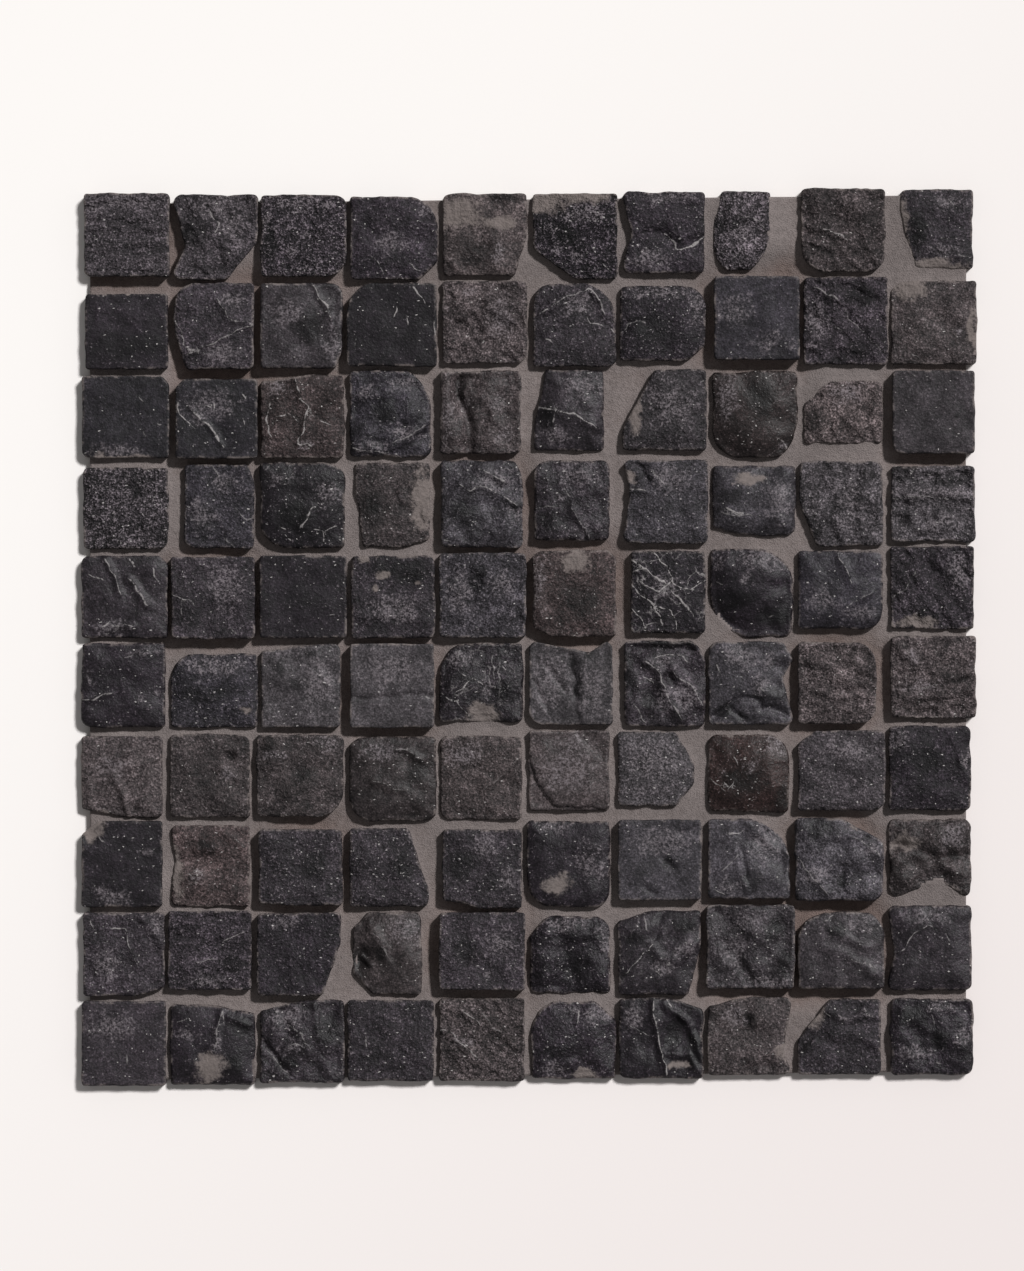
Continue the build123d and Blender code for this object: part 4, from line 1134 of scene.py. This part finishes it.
def distance_to_loop(points: np.ndarray, loop: np.ndarray) -> np.ndarray:
    """How far points of the plan lie from a closed line.

    Args:
        points: the points.
        loop: the line's corners in order.

    Returns:
        The distances.
    """
    span = np.roll(loop, -1, axis=0) - loop
    apart = points[:, None, :] - loop[None]
    share = np.clip((apart * span).sum(-1) / np.maximum((span * span).sum(-1), 1e-9), 0, 1)
    apart = apart - share[..., None] * span
    return np.sqrt((apart * apart).sum(-1).min(1))


def beside_line(points: np.ndarray, line: list[np.ndarray]) -> tuple[np.ndarray, np.ndarray, np.ndarray]:
    """Sets points of the plan against an open line.

    Args:
        points: the points.
        line: the line's points in order.

    Returns:
        How far they lie from the line, how far to its left, and how far beyond its ends.
    """
    gap = np.full(len(points), 1e9)
    left = np.zeros(len(points))
    past = np.zeros(len(points))
    for place, (start, end) in enumerate(zip(line, line[1:])):
        span = end - start
        length = float(np.hypot(*span))
        apart = points - start
        share = apart @ span / length**2
        held = np.clip(share, 0, 1)
        here = np.hypot(*(apart - held[:, None] * span).T)
        before = np.maximum(-share, 0) if place == 0 else 0.0
        beyond = np.maximum(share - 1, 0) if place == len(line) - 2 else 0.0
        closer = here < gap
        gap = np.where(closer, here, gap)
        left = np.where(closer, (span[0] * apart[:, 1] - span[1] * apart[:, 0]) / length, left)
        past = np.where(closer, (before + beyond) * length, past)
    return gap, left, past


def inside_loop(points: np.ndarray, loop: np.ndarray) -> np.ndarray:
    """Which points of the plan lie inside a closed line."""
    after = np.roll(loop, -1, axis=0)
    x, y = points[:, 0, None], points[:, 1, None]
    spans = (loop[:, 1] > y) != (after[:, 1] > y)
    rise = np.where(after[:, 1] == loop[:, 1], 1e-12, after[:, 1] - loop[:, 1])
    meets = loop[:, 0] + (y - loop[:, 1]) * (after[:, 0] - loop[:, 0]) / rise
    return (spans & (x < meets)).sum(1) % 2 == 1


def new_piece(name: str, mesh: bmesh.types.BMesh) -> bpy.types.Object:
    """Puts a piece into the scene.

    Args:
        name: its name.
        mesh: its faces, which are freed.

    Returns:
        The piece.
    """
    for face in mesh.faces:
        face.smooth = True
    data = bpy.data.meshes.new(name)
    mesh.to_mesh(data)
    mesh.free()
    piece = bpy.data.objects.new(name, data)
    bpy.context.scene.collection.objects.link(piece)
    return piece


@dataclass
class Seat:
    """One cobble as the solids have it: its outline and its height, with its cell's north-west corner."""

    outline: np.ndarray
    height: float
    corner: np.ndarray
    seed: float

    def spot(self, u: float, v: float) -> np.ndarray:
        """The point at hundredths of the cell from its west and north edges."""
        return self.corner + np.array([u / CELL, -v / CELL]) * PITCH

    def course(self, points: tuple[tuple[float, float], ...]) -> list[np.ndarray]:
        """The points of a line, given in hundredths of the cell."""
        return [self.spot(u, v) for u, v in points]

    def squared(self, facet: float = 2.5, side: float = 5.0, share: float = 0.65) -> np.ndarray:
        """The outline with the small facets at its corners drawn out towards the corners.

        Args:
            facet: length up to which an edge is such a facet.
            side: least length of the sides that it lies between.
            share: how far the facet moves towards the corner.

        Returns:
            The outline's points in order.
        """
        drawn = self.outline.copy()
        count = len(drawn)
        for k in range(count):
            before, start, end, after = (self.outline[(k + d) % count] for d in (-1, 0, 1, 2))
            inward, outward = start - before, end - after
            sides = min(np.hypot(*inward), np.hypot(*outward))
            if np.hypot(*(end - start)) < facet and sides > side:
                along = np.linalg.solve(np.stack([inward, -outward], axis=1), after - before)[0]
                corner = before + inward * along
                drawn[k] += (corner - start) * share
                drawn[(k + 1) % count] += (corner - end) * share
        return drawn

    def worn_outline(self, surface: Surface, step: float = 0.8) -> np.ndarray:
        """The outline with its corners eased and its edges nibbled.

        Args:
            surface: how rough and how worn the stone is.
            step: spacing of its points.

        Returns:
            The outline's points in order.
        """
        outline = self.squared()
        wander = surface.wear * 0.75
        points = []
        for start, end in zip(outline, np.roll(outline, -1, axis=0)):
            count = max(1, round(float(np.hypot(*(end - start))) / step))
            points += [start + (end - start) * k / count for k in range(count)]
        loop = np.array(points)
        for _ in range(surface.eased):
            loop = loop * 0.5 + (np.roll(loop, 1, axis=0) + np.roll(loop, -1, axis=0)) * 0.25
        along = np.roll(loop, -1, axis=0) - np.roll(loop, 1, axis=0)
        outward = np.stack([along[:, 1], -along[:, 0]], axis=1) / np.maximum(np.hypot(*along.T), 1e-9)[:, None]
        stray = rolling(loop, 6.5, self.seed + 3, 2) * wander + rolling(loop, 1.8, self.seed + 4) * wander * 0.4
        return loop + outward * (stray - wander * 0.25)[:, None]


def read_seats(row: int) -> list[Seat]:
    """Reads a row's cobbles from the solids.

    Args:
        row: the row, 0 in the north.

    Returns:
        The cobbles from west to east.
    """
    bm = bmesh.new()
    bm.from_mesh(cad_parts[f"cobble_row_{row + 1:02d}"].data)
    bmesh.ops.remove_doubles(bm, verts=bm.verts, dist=WELD)
    waiting = set(bm.verts)
    seats = []
    while waiting:
        island, edge = set(), [waiting.pop()]
        while edge:
            vert = edge.pop()
            island.add(vert)
            fresh = {e.other_vert(vert) for e in vert.link_edges} & waiting
            waiting -= fresh
            edge += fresh
        seats.append(read_seat(island))
    bm.free()
    seats.sort(key=lambda seat: seat.outline[:, 0].mean())
    for column, seat in enumerate(seats):
        east = column - (COUNT - 1) / 2
        north = (COUNT - 1) / 2 - row
        seat.corner = np.array([east - 0.5, north + 0.5]) * PITCH + np.array([0, east * ROW_RISE])
        seat.seed = 17.0 + row * 31.7 + column * 7.3
    return seats


def read_seat(island: set[bmesh.types.BMVert]) -> Seat:
    """Reads one cobble's outline, counter-clockwise, and its height from its vertices."""
    foot = {v for v in island if v.co.z < WELD}
    onward: dict[bmesh.types.BMVert, list[bmesh.types.BMVert]] = {}
    for vert in foot:
        rim = [e for e in vert.link_edges if any(abs(f.normal.z) < 0.5 for f in e.link_faces)]
        onward[vert] = [e.other_vert(vert) for e in rim if e.other_vert(vert) in foot]
    first = max(foot, key=lambda v: (v.co.x, v.co.y))
    loop, before, here = [first], first, onward[first][0]
    while here is not first:
        loop.append(here)
        following = [v for v in onward[here] if v is not before]
        before, here = here, following[0]
    outline = np.array([(v.co.x, v.co.y) for v in loop]) / MM
    x, y = outline.T
    if (x * np.roll(y, -1) - np.roll(x, -1) * y).sum() < 0:
        outline = outline[::-1]
    return Seat(outline, max(v.co.z for v in island) / MM, np.zeros(2), 0.0)


TRAITS = ("coarse", "speck", "band", "banding", "across", "vein", "film", "pale_and_sheen", "dark_and_shade", "edge", "satin", "web")


@dataclass
class CobbleRow:
    """Ten cobbles side by side, as one piece."""

    row: int
    seats: list[Seat]
    divisions: int = 54  # faces across a cobble's top
    shoulder: float = 1.25  # width of the rounding at a cobble's edge, as a share of its height
    skirt: tuple[float, ...] = (0.3, 0.65, 1.0)  # how far down the sides their rings lie
    gather: float = 1.35  # how closely the faces gather towards the edge
    crest: float = 1.0  # how far a crest may stand over the solid, in millimetres
    soft: float = 0.4  # how softly crests are held below that
    rise: float = 8.0  # distance from the edge over which the crown rises
    vein_reach: float = 1.7  # distance from a vein at which it is lost, in millimetres
    vein_fade: float = 0.6  # distance over which it fades
    mesh: bmesh.types.BMesh = field(init=False)
    layers: dict[str, object] = field(init=False)

    def build(self) -> bpy.types.Object:
        """Makes the row's mesh.

        Returns:
            The row.
        """
        self.mesh = bmesh.new()
        for name in TRAITS:
            self.mesh.verts.layers.float.new(name)
        self.mesh.verts.layers.float_color.new("tone")
        self.layers = {name: self.mesh.verts.layers.float[name] for name in TRAITS}
        for seat, look in zip(self.seats, LOOKS[self.row]):
            self.add_cobble(seat, look)
        bmesh.ops.recalc_face_normals(self.mesh, faces=self.mesh.faces)
        return new_piece(f"tumbled_row_{self.row + 1:02d}", self.mesh)

    def dress(self, piece: bpy.types.Object, stone: bpy.types.Material) -> None:
        """Gives the row its stone and its place in the frame."""
        piece.data.materials.append(stone)
        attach(piece, "root")
        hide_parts(f"cobble_row_{self.row + 1:02d}")

    def add_cobble(self, seat: Seat, look: Look) -> None:
        """Adds one cobble: a worn top drawn out of a grid, with sides down to the back and a closed base."""
        size = self.divisions
        verts = bmesh.ops.create_grid(self.mesh, x_segments=size, y_segments=size, size=1.0)["verts"]
        square = np.array([v.co.xy for v in verts])
        loop = seat.worn_outline(look.grain.value)
        plan = self.spread(square, seat, loop)
        edge = distance_to_loop(plan, loop)
        heights = self.heights(plan, edge, seat, look)
        for vert, point, height in zip(verts, plan, heights):
            vert.co = (point[0] * MM, point[1] * MM, height * MM)
        self.colour(verts, plan, edge, seat, look)
        rim = list(dict.fromkeys(e for v in verts for e in v.link_edges if e.is_boundary))
        tops = {}
        for share in self.skirt:
            made = bmesh.ops.extrude_edge_only(self.mesh, edges=rim)["geom"]
            fresh = [g for g in made if isinstance(g, bmesh.types.BMVert)]
            rim = [g for g in made if isinstance(g, bmesh.types.BMEdge) and g.is_boundary]
            for vert in fresh:
                spot = (round(vert.co.x, 7), round(vert.co.y, 7))
                tops.setdefault(spot, vert.co.z)
                vert.co.z = tops[spot] * (1 - share)
        bmesh.ops.edgeloop_fill(self.mesh, edges=rim)

    def spread(self, square: np.ndarray, seat: Seat, loop: np.ndarray) -> np.ndarray:
        """Draws a square grid out to an outline.

        Args:
            square: the grid's points, from -1 to 1.
            seat: the cobble.
            loop: its worn outline.

        Returns:
            The grid's points in the plan.
        """
        centre = (seat.outline.min(0) + seat.outline.max(0)) / 2
        ring = np.abs(square).max(1)
        ways = square / np.maximum(np.hypot(*square.T), 1e-9)[:, None]
        span = np.roll(loop, -1, axis=0) - loop
        start = loop - centre
        turn = ways[:, 0, None] * span[:, 1] - ways[:, 1, None] * span[:, 0]
        turn = np.where(np.abs(turn) < 1e-9, 1e-9, turn)
        reach = (start[:, 0] * span[:, 1] - start[:, 1] * span[:, 0]) / turn
        share = (start[:, 0] * ways[:, 1, None] - start[:, 1] * ways[:, 0, None]) / turn
        meets = (share >= -1e-6) & (share <= 1 + 1e-6) & (reach > 0)
        radius = np.where(meets, reach, 1e9).min(1)
        radius = np.where(radius > 1e8, 0.0, radius)
        eased = 1 - (1 - ring) ** self.gather
        return centre + ways * (radius * eased)[:, None]

    def heights(self, plan: np.ndarray, edge: np.ndarray, seat: Seat, look: Look) -> np.ndarray:
        """Heights of a cobble's worn top.

        Args:
            plan: points of the top.
            edge: their distance from the outline.
            seat: the cobble.
            look: its stone.

        Returns:
            The heights in millimetres.
        """
        surface = look.grain.value
        seed = seat.seed
        angle = math.radians(look.lay)
        along = np.array([math.cos(angle), math.sin(angle)])
        across = np.array([-along[1], along[0]])
        local = plan - seat.outline.mean(0)
        warp = rolling(plan, 6.0, seed + 9, 2)
        stray = strayed(plan, seed)
        relief = rolling(plan, 10.0, seed, 2) * surface.swell
        relief += rolling(plan, 1.9, seed + 1, 3) * surface.pits
        if surface.cleft:
            laid = np.stack([local @ along / 11.0, local @ across / 5.0 + warp * 0.5], axis=1)
            relief += (ridged(laid, seed + 2) - 0.75) * surface.cleft
        if surface.ripple:
            layers = np.stack([local @ along / 6.0, (local @ across + warp * 1.5) * 1.1], axis=1)
            relief += rolling(layers, 2.4, seed + 5, 2) * surface.ripple
        for dent in look.dents:
            far = np.hypot(*(plan - seat.spot(dent.u, dent.v)).T) / (dent.reach / CELL * PITCH)
            relief -= smooth_step(1 - far + warp * 0.12) * dent.depth
        for shelf in look.ledges:
            side = beside_line(plan + stray * 1.4, seat.course(shelf.points))[1]
            relief -= smooth_step(side / 0.8 + 0.5) * shelf.step
        for crest in (*look.ridges, *(line.crest for line in look.veins if line.crest)):
            gap = beside_line(plan + stray * 0.8, seat.course(crest.points))[0]
            relief += np.exp(-((gap / crest.width) ** 2)) * crest.height
        worn = surface.wear * (1 + rolling(plan, 7.0, seed + 6, 2) * 1.1)
        down = 1 - np.clip(edge / (worn * self.shoulder), 0, 1)
        drop = worn * (1 - np.sqrt(np.maximum(1 - down * down * 0.98, 0)))
        kept = 0.6 + 0.4 * smooth_step(edge / 2.5)
        crown = surface.crown * look.crown
        drop += crown * (1 - np.clip(edge / self.rise, 0, 1)) ** 2
        below = self.crest - crown * 0.35 - (relief - np.percentile(relief, 85)) * kept + drop
        return seat.height + self.crest - np.logaddexp(0, below / self.soft) * self.soft

    def colour(self, verts: list, plan: np.ndarray, edge: np.ndarray, seat: Seat, look: Look) -> None:
        """Writes on a cobble's vertices what its stone looks like there."""
        count = len(plan)
        surface = look.grain.value
        angle = math.radians(look.lay)
        stray = strayed(plan, seat.seed)
        across, weight = self.vein_lines(plan + stray * 0.9, seat, look)
        traits = {
            "coarse": np.full(count, surface.coarse),
            "speck": np.full(count, look.specks),
            "band": plan @ np.array([-math.sin(angle), math.cos(angle)]) + stray[:, 0] * 1.2,
            "banding": np.full(count, look.bands),
            "across": across,
            "vein": weight,
            "edge": edge,
            "satin": np.full(count, surface.satin),
            "web": np.full(count, look.web),
        }
        for mark in Mark:
            traits[mark.value] = self.patches(plan + stray * 1.6, seat, [s for s in look.stains if s.mark is mark])
        for name, values in traits.items():
            layer = self.layers[name]
            for vert, value in zip(verts, values.tolist()):
                vert[layer] = value
        tone = (*(c * 2 ** look.shade.value for c in look.tone.value), 1.0)
        layer = self.mesh.verts.layers.float_color["tone"]
        for vert in verts:
            vert[layer] = tone

    def patches(self, plan: np.ndarray, seat: Seat, stains: list[Stain]) -> np.ndarray:
        """How far inside the nearest patch of one kind each point lies: 1 in its middle, 0 at its rim."""
        depth = np.full(len(plan), -1.0)
        for stain in stains:
            local = (plan - seat.spot(stain.u, stain.v)) / (np.array([stain.ru, stain.rv]) / CELL * PITCH)
            depth = np.maximum(depth, 1 - np.hypot(*local.T))
        return depth

    def vein_lines(self, plan: np.ndarray, seat: Seat, look: Look) -> tuple[np.ndarray, np.ndarray]:
        """Where a cobble's veins run.

        Args:
            plan: points of the top.
            seat: the cobble.
            look: its stone.

        Returns:
            The signed distance across the nearest vein in millimetres, and how strongly it shows there.
        """
        nearest = np.full(len(plan), 9.0)
        across = np.full(len(plan), 9.0)
        weight = np.zeros(len(plan))
        for line in look.veins:
            gap, side, past = beside_line(plan, seat.course(line.points))
            shown = np.clip((self.vein_reach - gap) / self.vein_fade, 0, 1) * np.clip(1 - past / self.vein_fade, 0, 1)
            closer = gap < nearest
            nearest = np.where(closer, gap, nearest)
            across = np.where(closer, np.sign(side) * gap / line.wide, across)
            weight = np.where(closer, line.strength * shown, weight)
        return across, weight


@dataclass
class GroutBed:
    """The lattice of grout between the cobbles."""

    rows: list[list[Seat]]
    level: float = 3.8  # height of the grout in the joints
    reach: float = 146.8  # half width of the bed
    spacing: float = 0.8  # size of its faces
    tuck: float = 0.9  # how far it runs in under the cobbles' sides
    climb: float = 14.0  # how far from a cobble the grout's bank against it is felt
    sand: float = 0.12  # height of its fine bumps
    swell: float = 0.35  # height of its broad swells
    meniscus: float = 0.25  # how far it creeps up a cobble's very edge
    creep: float = 0.5  # distance over which that dies away

    def build(self) -> bpy.types.Object:
        """Makes the bed's mesh.

        Returns:
            The bed.
        """
        bm = bmesh.new()
        count = round(2 * self.reach / self.spacing)
        bmesh.ops.create_grid(bm, x_segments=count, y_segments=count, size=self.reach)
        plan = np.array([v.co.xy for v in bm.verts])
        plan[:, 1] += plan[:, 0] * ROW_RISE / PITCH
        depth, bank = self.survey(plan)
        bm.verts.index_update()
        buried = depth > self.tuck
        heights = self.level + bank
        heights += rolling(plan, 1.6, 5.0, 2) * self.sand + rolling(plan, 13.0, 6.0, 2) * self.swell
        for vert, point, height in zip(bm.verts, plan, heights):
            vert.co = (point[0] * MM, point[1] * MM, height * MM)
        hidden = {f for f in bm.faces if all(buried[v.index] for v in f.verts)}
        self.free_pinches(bm, hidden)
        bmesh.ops.delete(bm, geom=[f for f in bm.faces if f in hidden], context="FACES")
        made = bmesh.ops.extrude_face_region(bm, geom=bm.faces[:], use_keep_orig=True)["geom"]
        for vert in (g for g in made if isinstance(g, bmesh.types.BMVert)):
            vert.co.z = 0.0
        bmesh.ops.recalc_face_normals(bm, faces=bm.faces)
        return new_piece("grout_bed", bm)

    def free_pinches(self, bm: bmesh.types.BMesh, hidden: set[bmesh.types.BMFace]) -> None:
        """Keeps the hidden faces round any point where two kept ones would meet at a corner only."""
        pinched = True
        while pinched:
            pinched = False
            for vert in bm.verts:
                kept = [f for f in vert.link_faces if f not in hidden]
                inner = len(vert.link_faces) == 4
                if inner and len(kept) == 2 and not set(kept[0].edges) & set(kept[1].edges):
                    hidden.difference_update(vert.link_faces)
                    pinched = True

    def survey(self, plan: np.ndarray) -> tuple[np.ndarray, np.ndarray]:
        """Sets the bed's points against the cobbles.

        Args:
            plan: points of the bed.

        Returns:
            How deep each point lies inside a cobble, below 0 in the joints, and how far the grout banks up there.
        """
        depth = np.full(len(plan), -9.0)
        pull = np.zeros(len(plan))
        share = np.zeros(len(plan))
        for row, seats in enumerate(self.rows):
            for seat, look in zip(seats, LOOKS[row]):
                low, high = seat.outline.min(0) - self.climb, seat.outline.max(0) + self.climb
                near = np.flatnonzero(((plan > low) & (plan < high)).all(1))
                points = plan[near]
                loop = seat.worn_outline(look.grain.value)
                gap = distance_to_loop(points, loop)
                gap = np.where(inside_loop(points, loop), gap, -gap)
                depth[near] = np.maximum(depth[near], gap)
                weight = smooth_step(1 + gap / self.climb) ** 2 + 1e-6
                pull[near] += weight * look.bank
                share[near] += weight
        meniscus = self.meniscus * np.exp(np.minimum(depth, 0) / self.creep)
        return depth, pull / np.maximum(share, 1e-6) + meniscus

    def dress(self, piece: bpy.types.Object, grout: bpy.types.Material) -> None:
        """Gives the bed its grout and its place in the frame."""
        piece.data.materials.append(grout)
        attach(piece, "root")
        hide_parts("grout")


@dataclass
class Studio:
    """A pale floor, a sun from the north-east, an even sky and the camera straight above."""

    sun_share: float = 0.8  # part of the light that comes from the sun
    elevation: float = 43.0  # height of the sun over the tile, in degrees
    floor_elevation: float = 66.0  # height of the sun over the floor
    azimuth: float = 45.0  # from north towards east
    above: float = 3.0  # camera over the cobbles' tops, in metres
    frame_height: float = 0.4255  # what the picture shows from north to south, in metres
    aim: tuple[float, float] = (-0.00536, 0.00067)  # the point under the camera, in metres
    top: float = 0.0085  # height of the cobbles' tops, in metres
    sensor: float = 36.0  # height of the camera's sensor, in millimetres
    tile_spread: float = 6.0  # how wide the sun over the tile looks, in degrees
    floor_spread: float = 8.0  # how wide the sun over the floor looks
    floor_half: float = 4.0  # half width of the floor, in metres

    def build(self, pieces: list[bpy.types.Object], paper: bpy.types.Material) -> None:
        """Sets up floor, light and camera.

        Args:
            pieces: the tile's pieces.
            paper: the floor's finish.
        """
        scene = bpy.context.scene
        scene.view_settings.view_transform = "Standard"
        floor = self.floor(paper)
        self.sun("tile_sun", self.elevation, self.tile_spread, pieces)
        self.sun("floor_sun", self.floor_elevation, self.floor_spread, [floor])
        world = bpy.data.worlds.new("even_sky")
        net = Net(world)
        sky = net.add("ShaderNodeBackground", None, {"Color": (1, 1, 1, 1), "Strength": 1 - self.sun_share})
        net.add("ShaderNodeOutputWorld", None, {"Surface": sky.outputs[0]})
        scene.world = world
        lens = bpy.data.cameras.new("overhead")
        lens.sensor_fit = "VERTICAL"
        lens.sensor_height = self.sensor
        lens.lens = self.sensor * self.above / self.frame_height
        camera = bpy.data.objects.new("overhead", lens)
        camera.location = (*self.aim, self.top + self.above)
        scene.collection.objects.link(camera)
        scene.camera = camera

    def floor(self, paper: bpy.types.Material) -> bpy.types.Object:
        """Lays the floor and returns it."""
        bm = bmesh.new()
        bmesh.ops.create_grid(bm, x_segments=1, y_segments=1, size=self.floor_half)
        floor = new_piece("floor", bm)
        floor.data.materials.append(paper)
        return floor

    def sun(self, name: str, elevation: float, spread: float, lit: list[bpy.types.Object]) -> None:
        """Hangs a sun.

        Args:
            name: its name.
            elevation: its height in degrees.
            spread: how wide it looks, in degrees, which softens its shadows.
            lit: what it lights.
        """
        lamp = bpy.data.lights.new(name, "SUN")
        lamp.energy = math.pi * self.sun_share / math.sin(math.radians(elevation))
        lamp.angle = math.radians(spread)
        sun = bpy.data.objects.new(name, lamp)
        sun.rotation_euler = (math.radians(90 - elevation), 0, math.radians(180 - self.azimuth))
        bpy.context.scene.collection.objects.link(sun)
        group = bpy.data.collections.new(f"{name}_lights")
        for piece in lit:
            group.objects.link(piece)
        sun.light_linking.receiver_collection = group


def main() -> None:
    """Builds the tile and its studio."""
    logging.basicConfig(level=logging.INFO, format="%(message)s")
    rows = [read_seats(row) for row in range(COUNT)]
    stone = StoneFinish().material()
    pieces = []
    for row, seats in enumerate(rows):
        cobbles = CobbleRow(row, seats)
        piece = cobbles.build()
        cobbles.dress(piece, stone)
        pieces.append(piece)
        LOG.info("%s: %d faces", piece.name, len(piece.data.polygons))
    bed = GroutBed(rows)
    piece = bed.build()
    bed.dress(piece, GroutFinish().material())
    pieces.append(piece)
    LOG.info("%s: %d faces", piece.name, len(piece.data.polygons))
    Studio().build(pieces, FloorFinish().material())


if __name__ == "__main__":
    main()
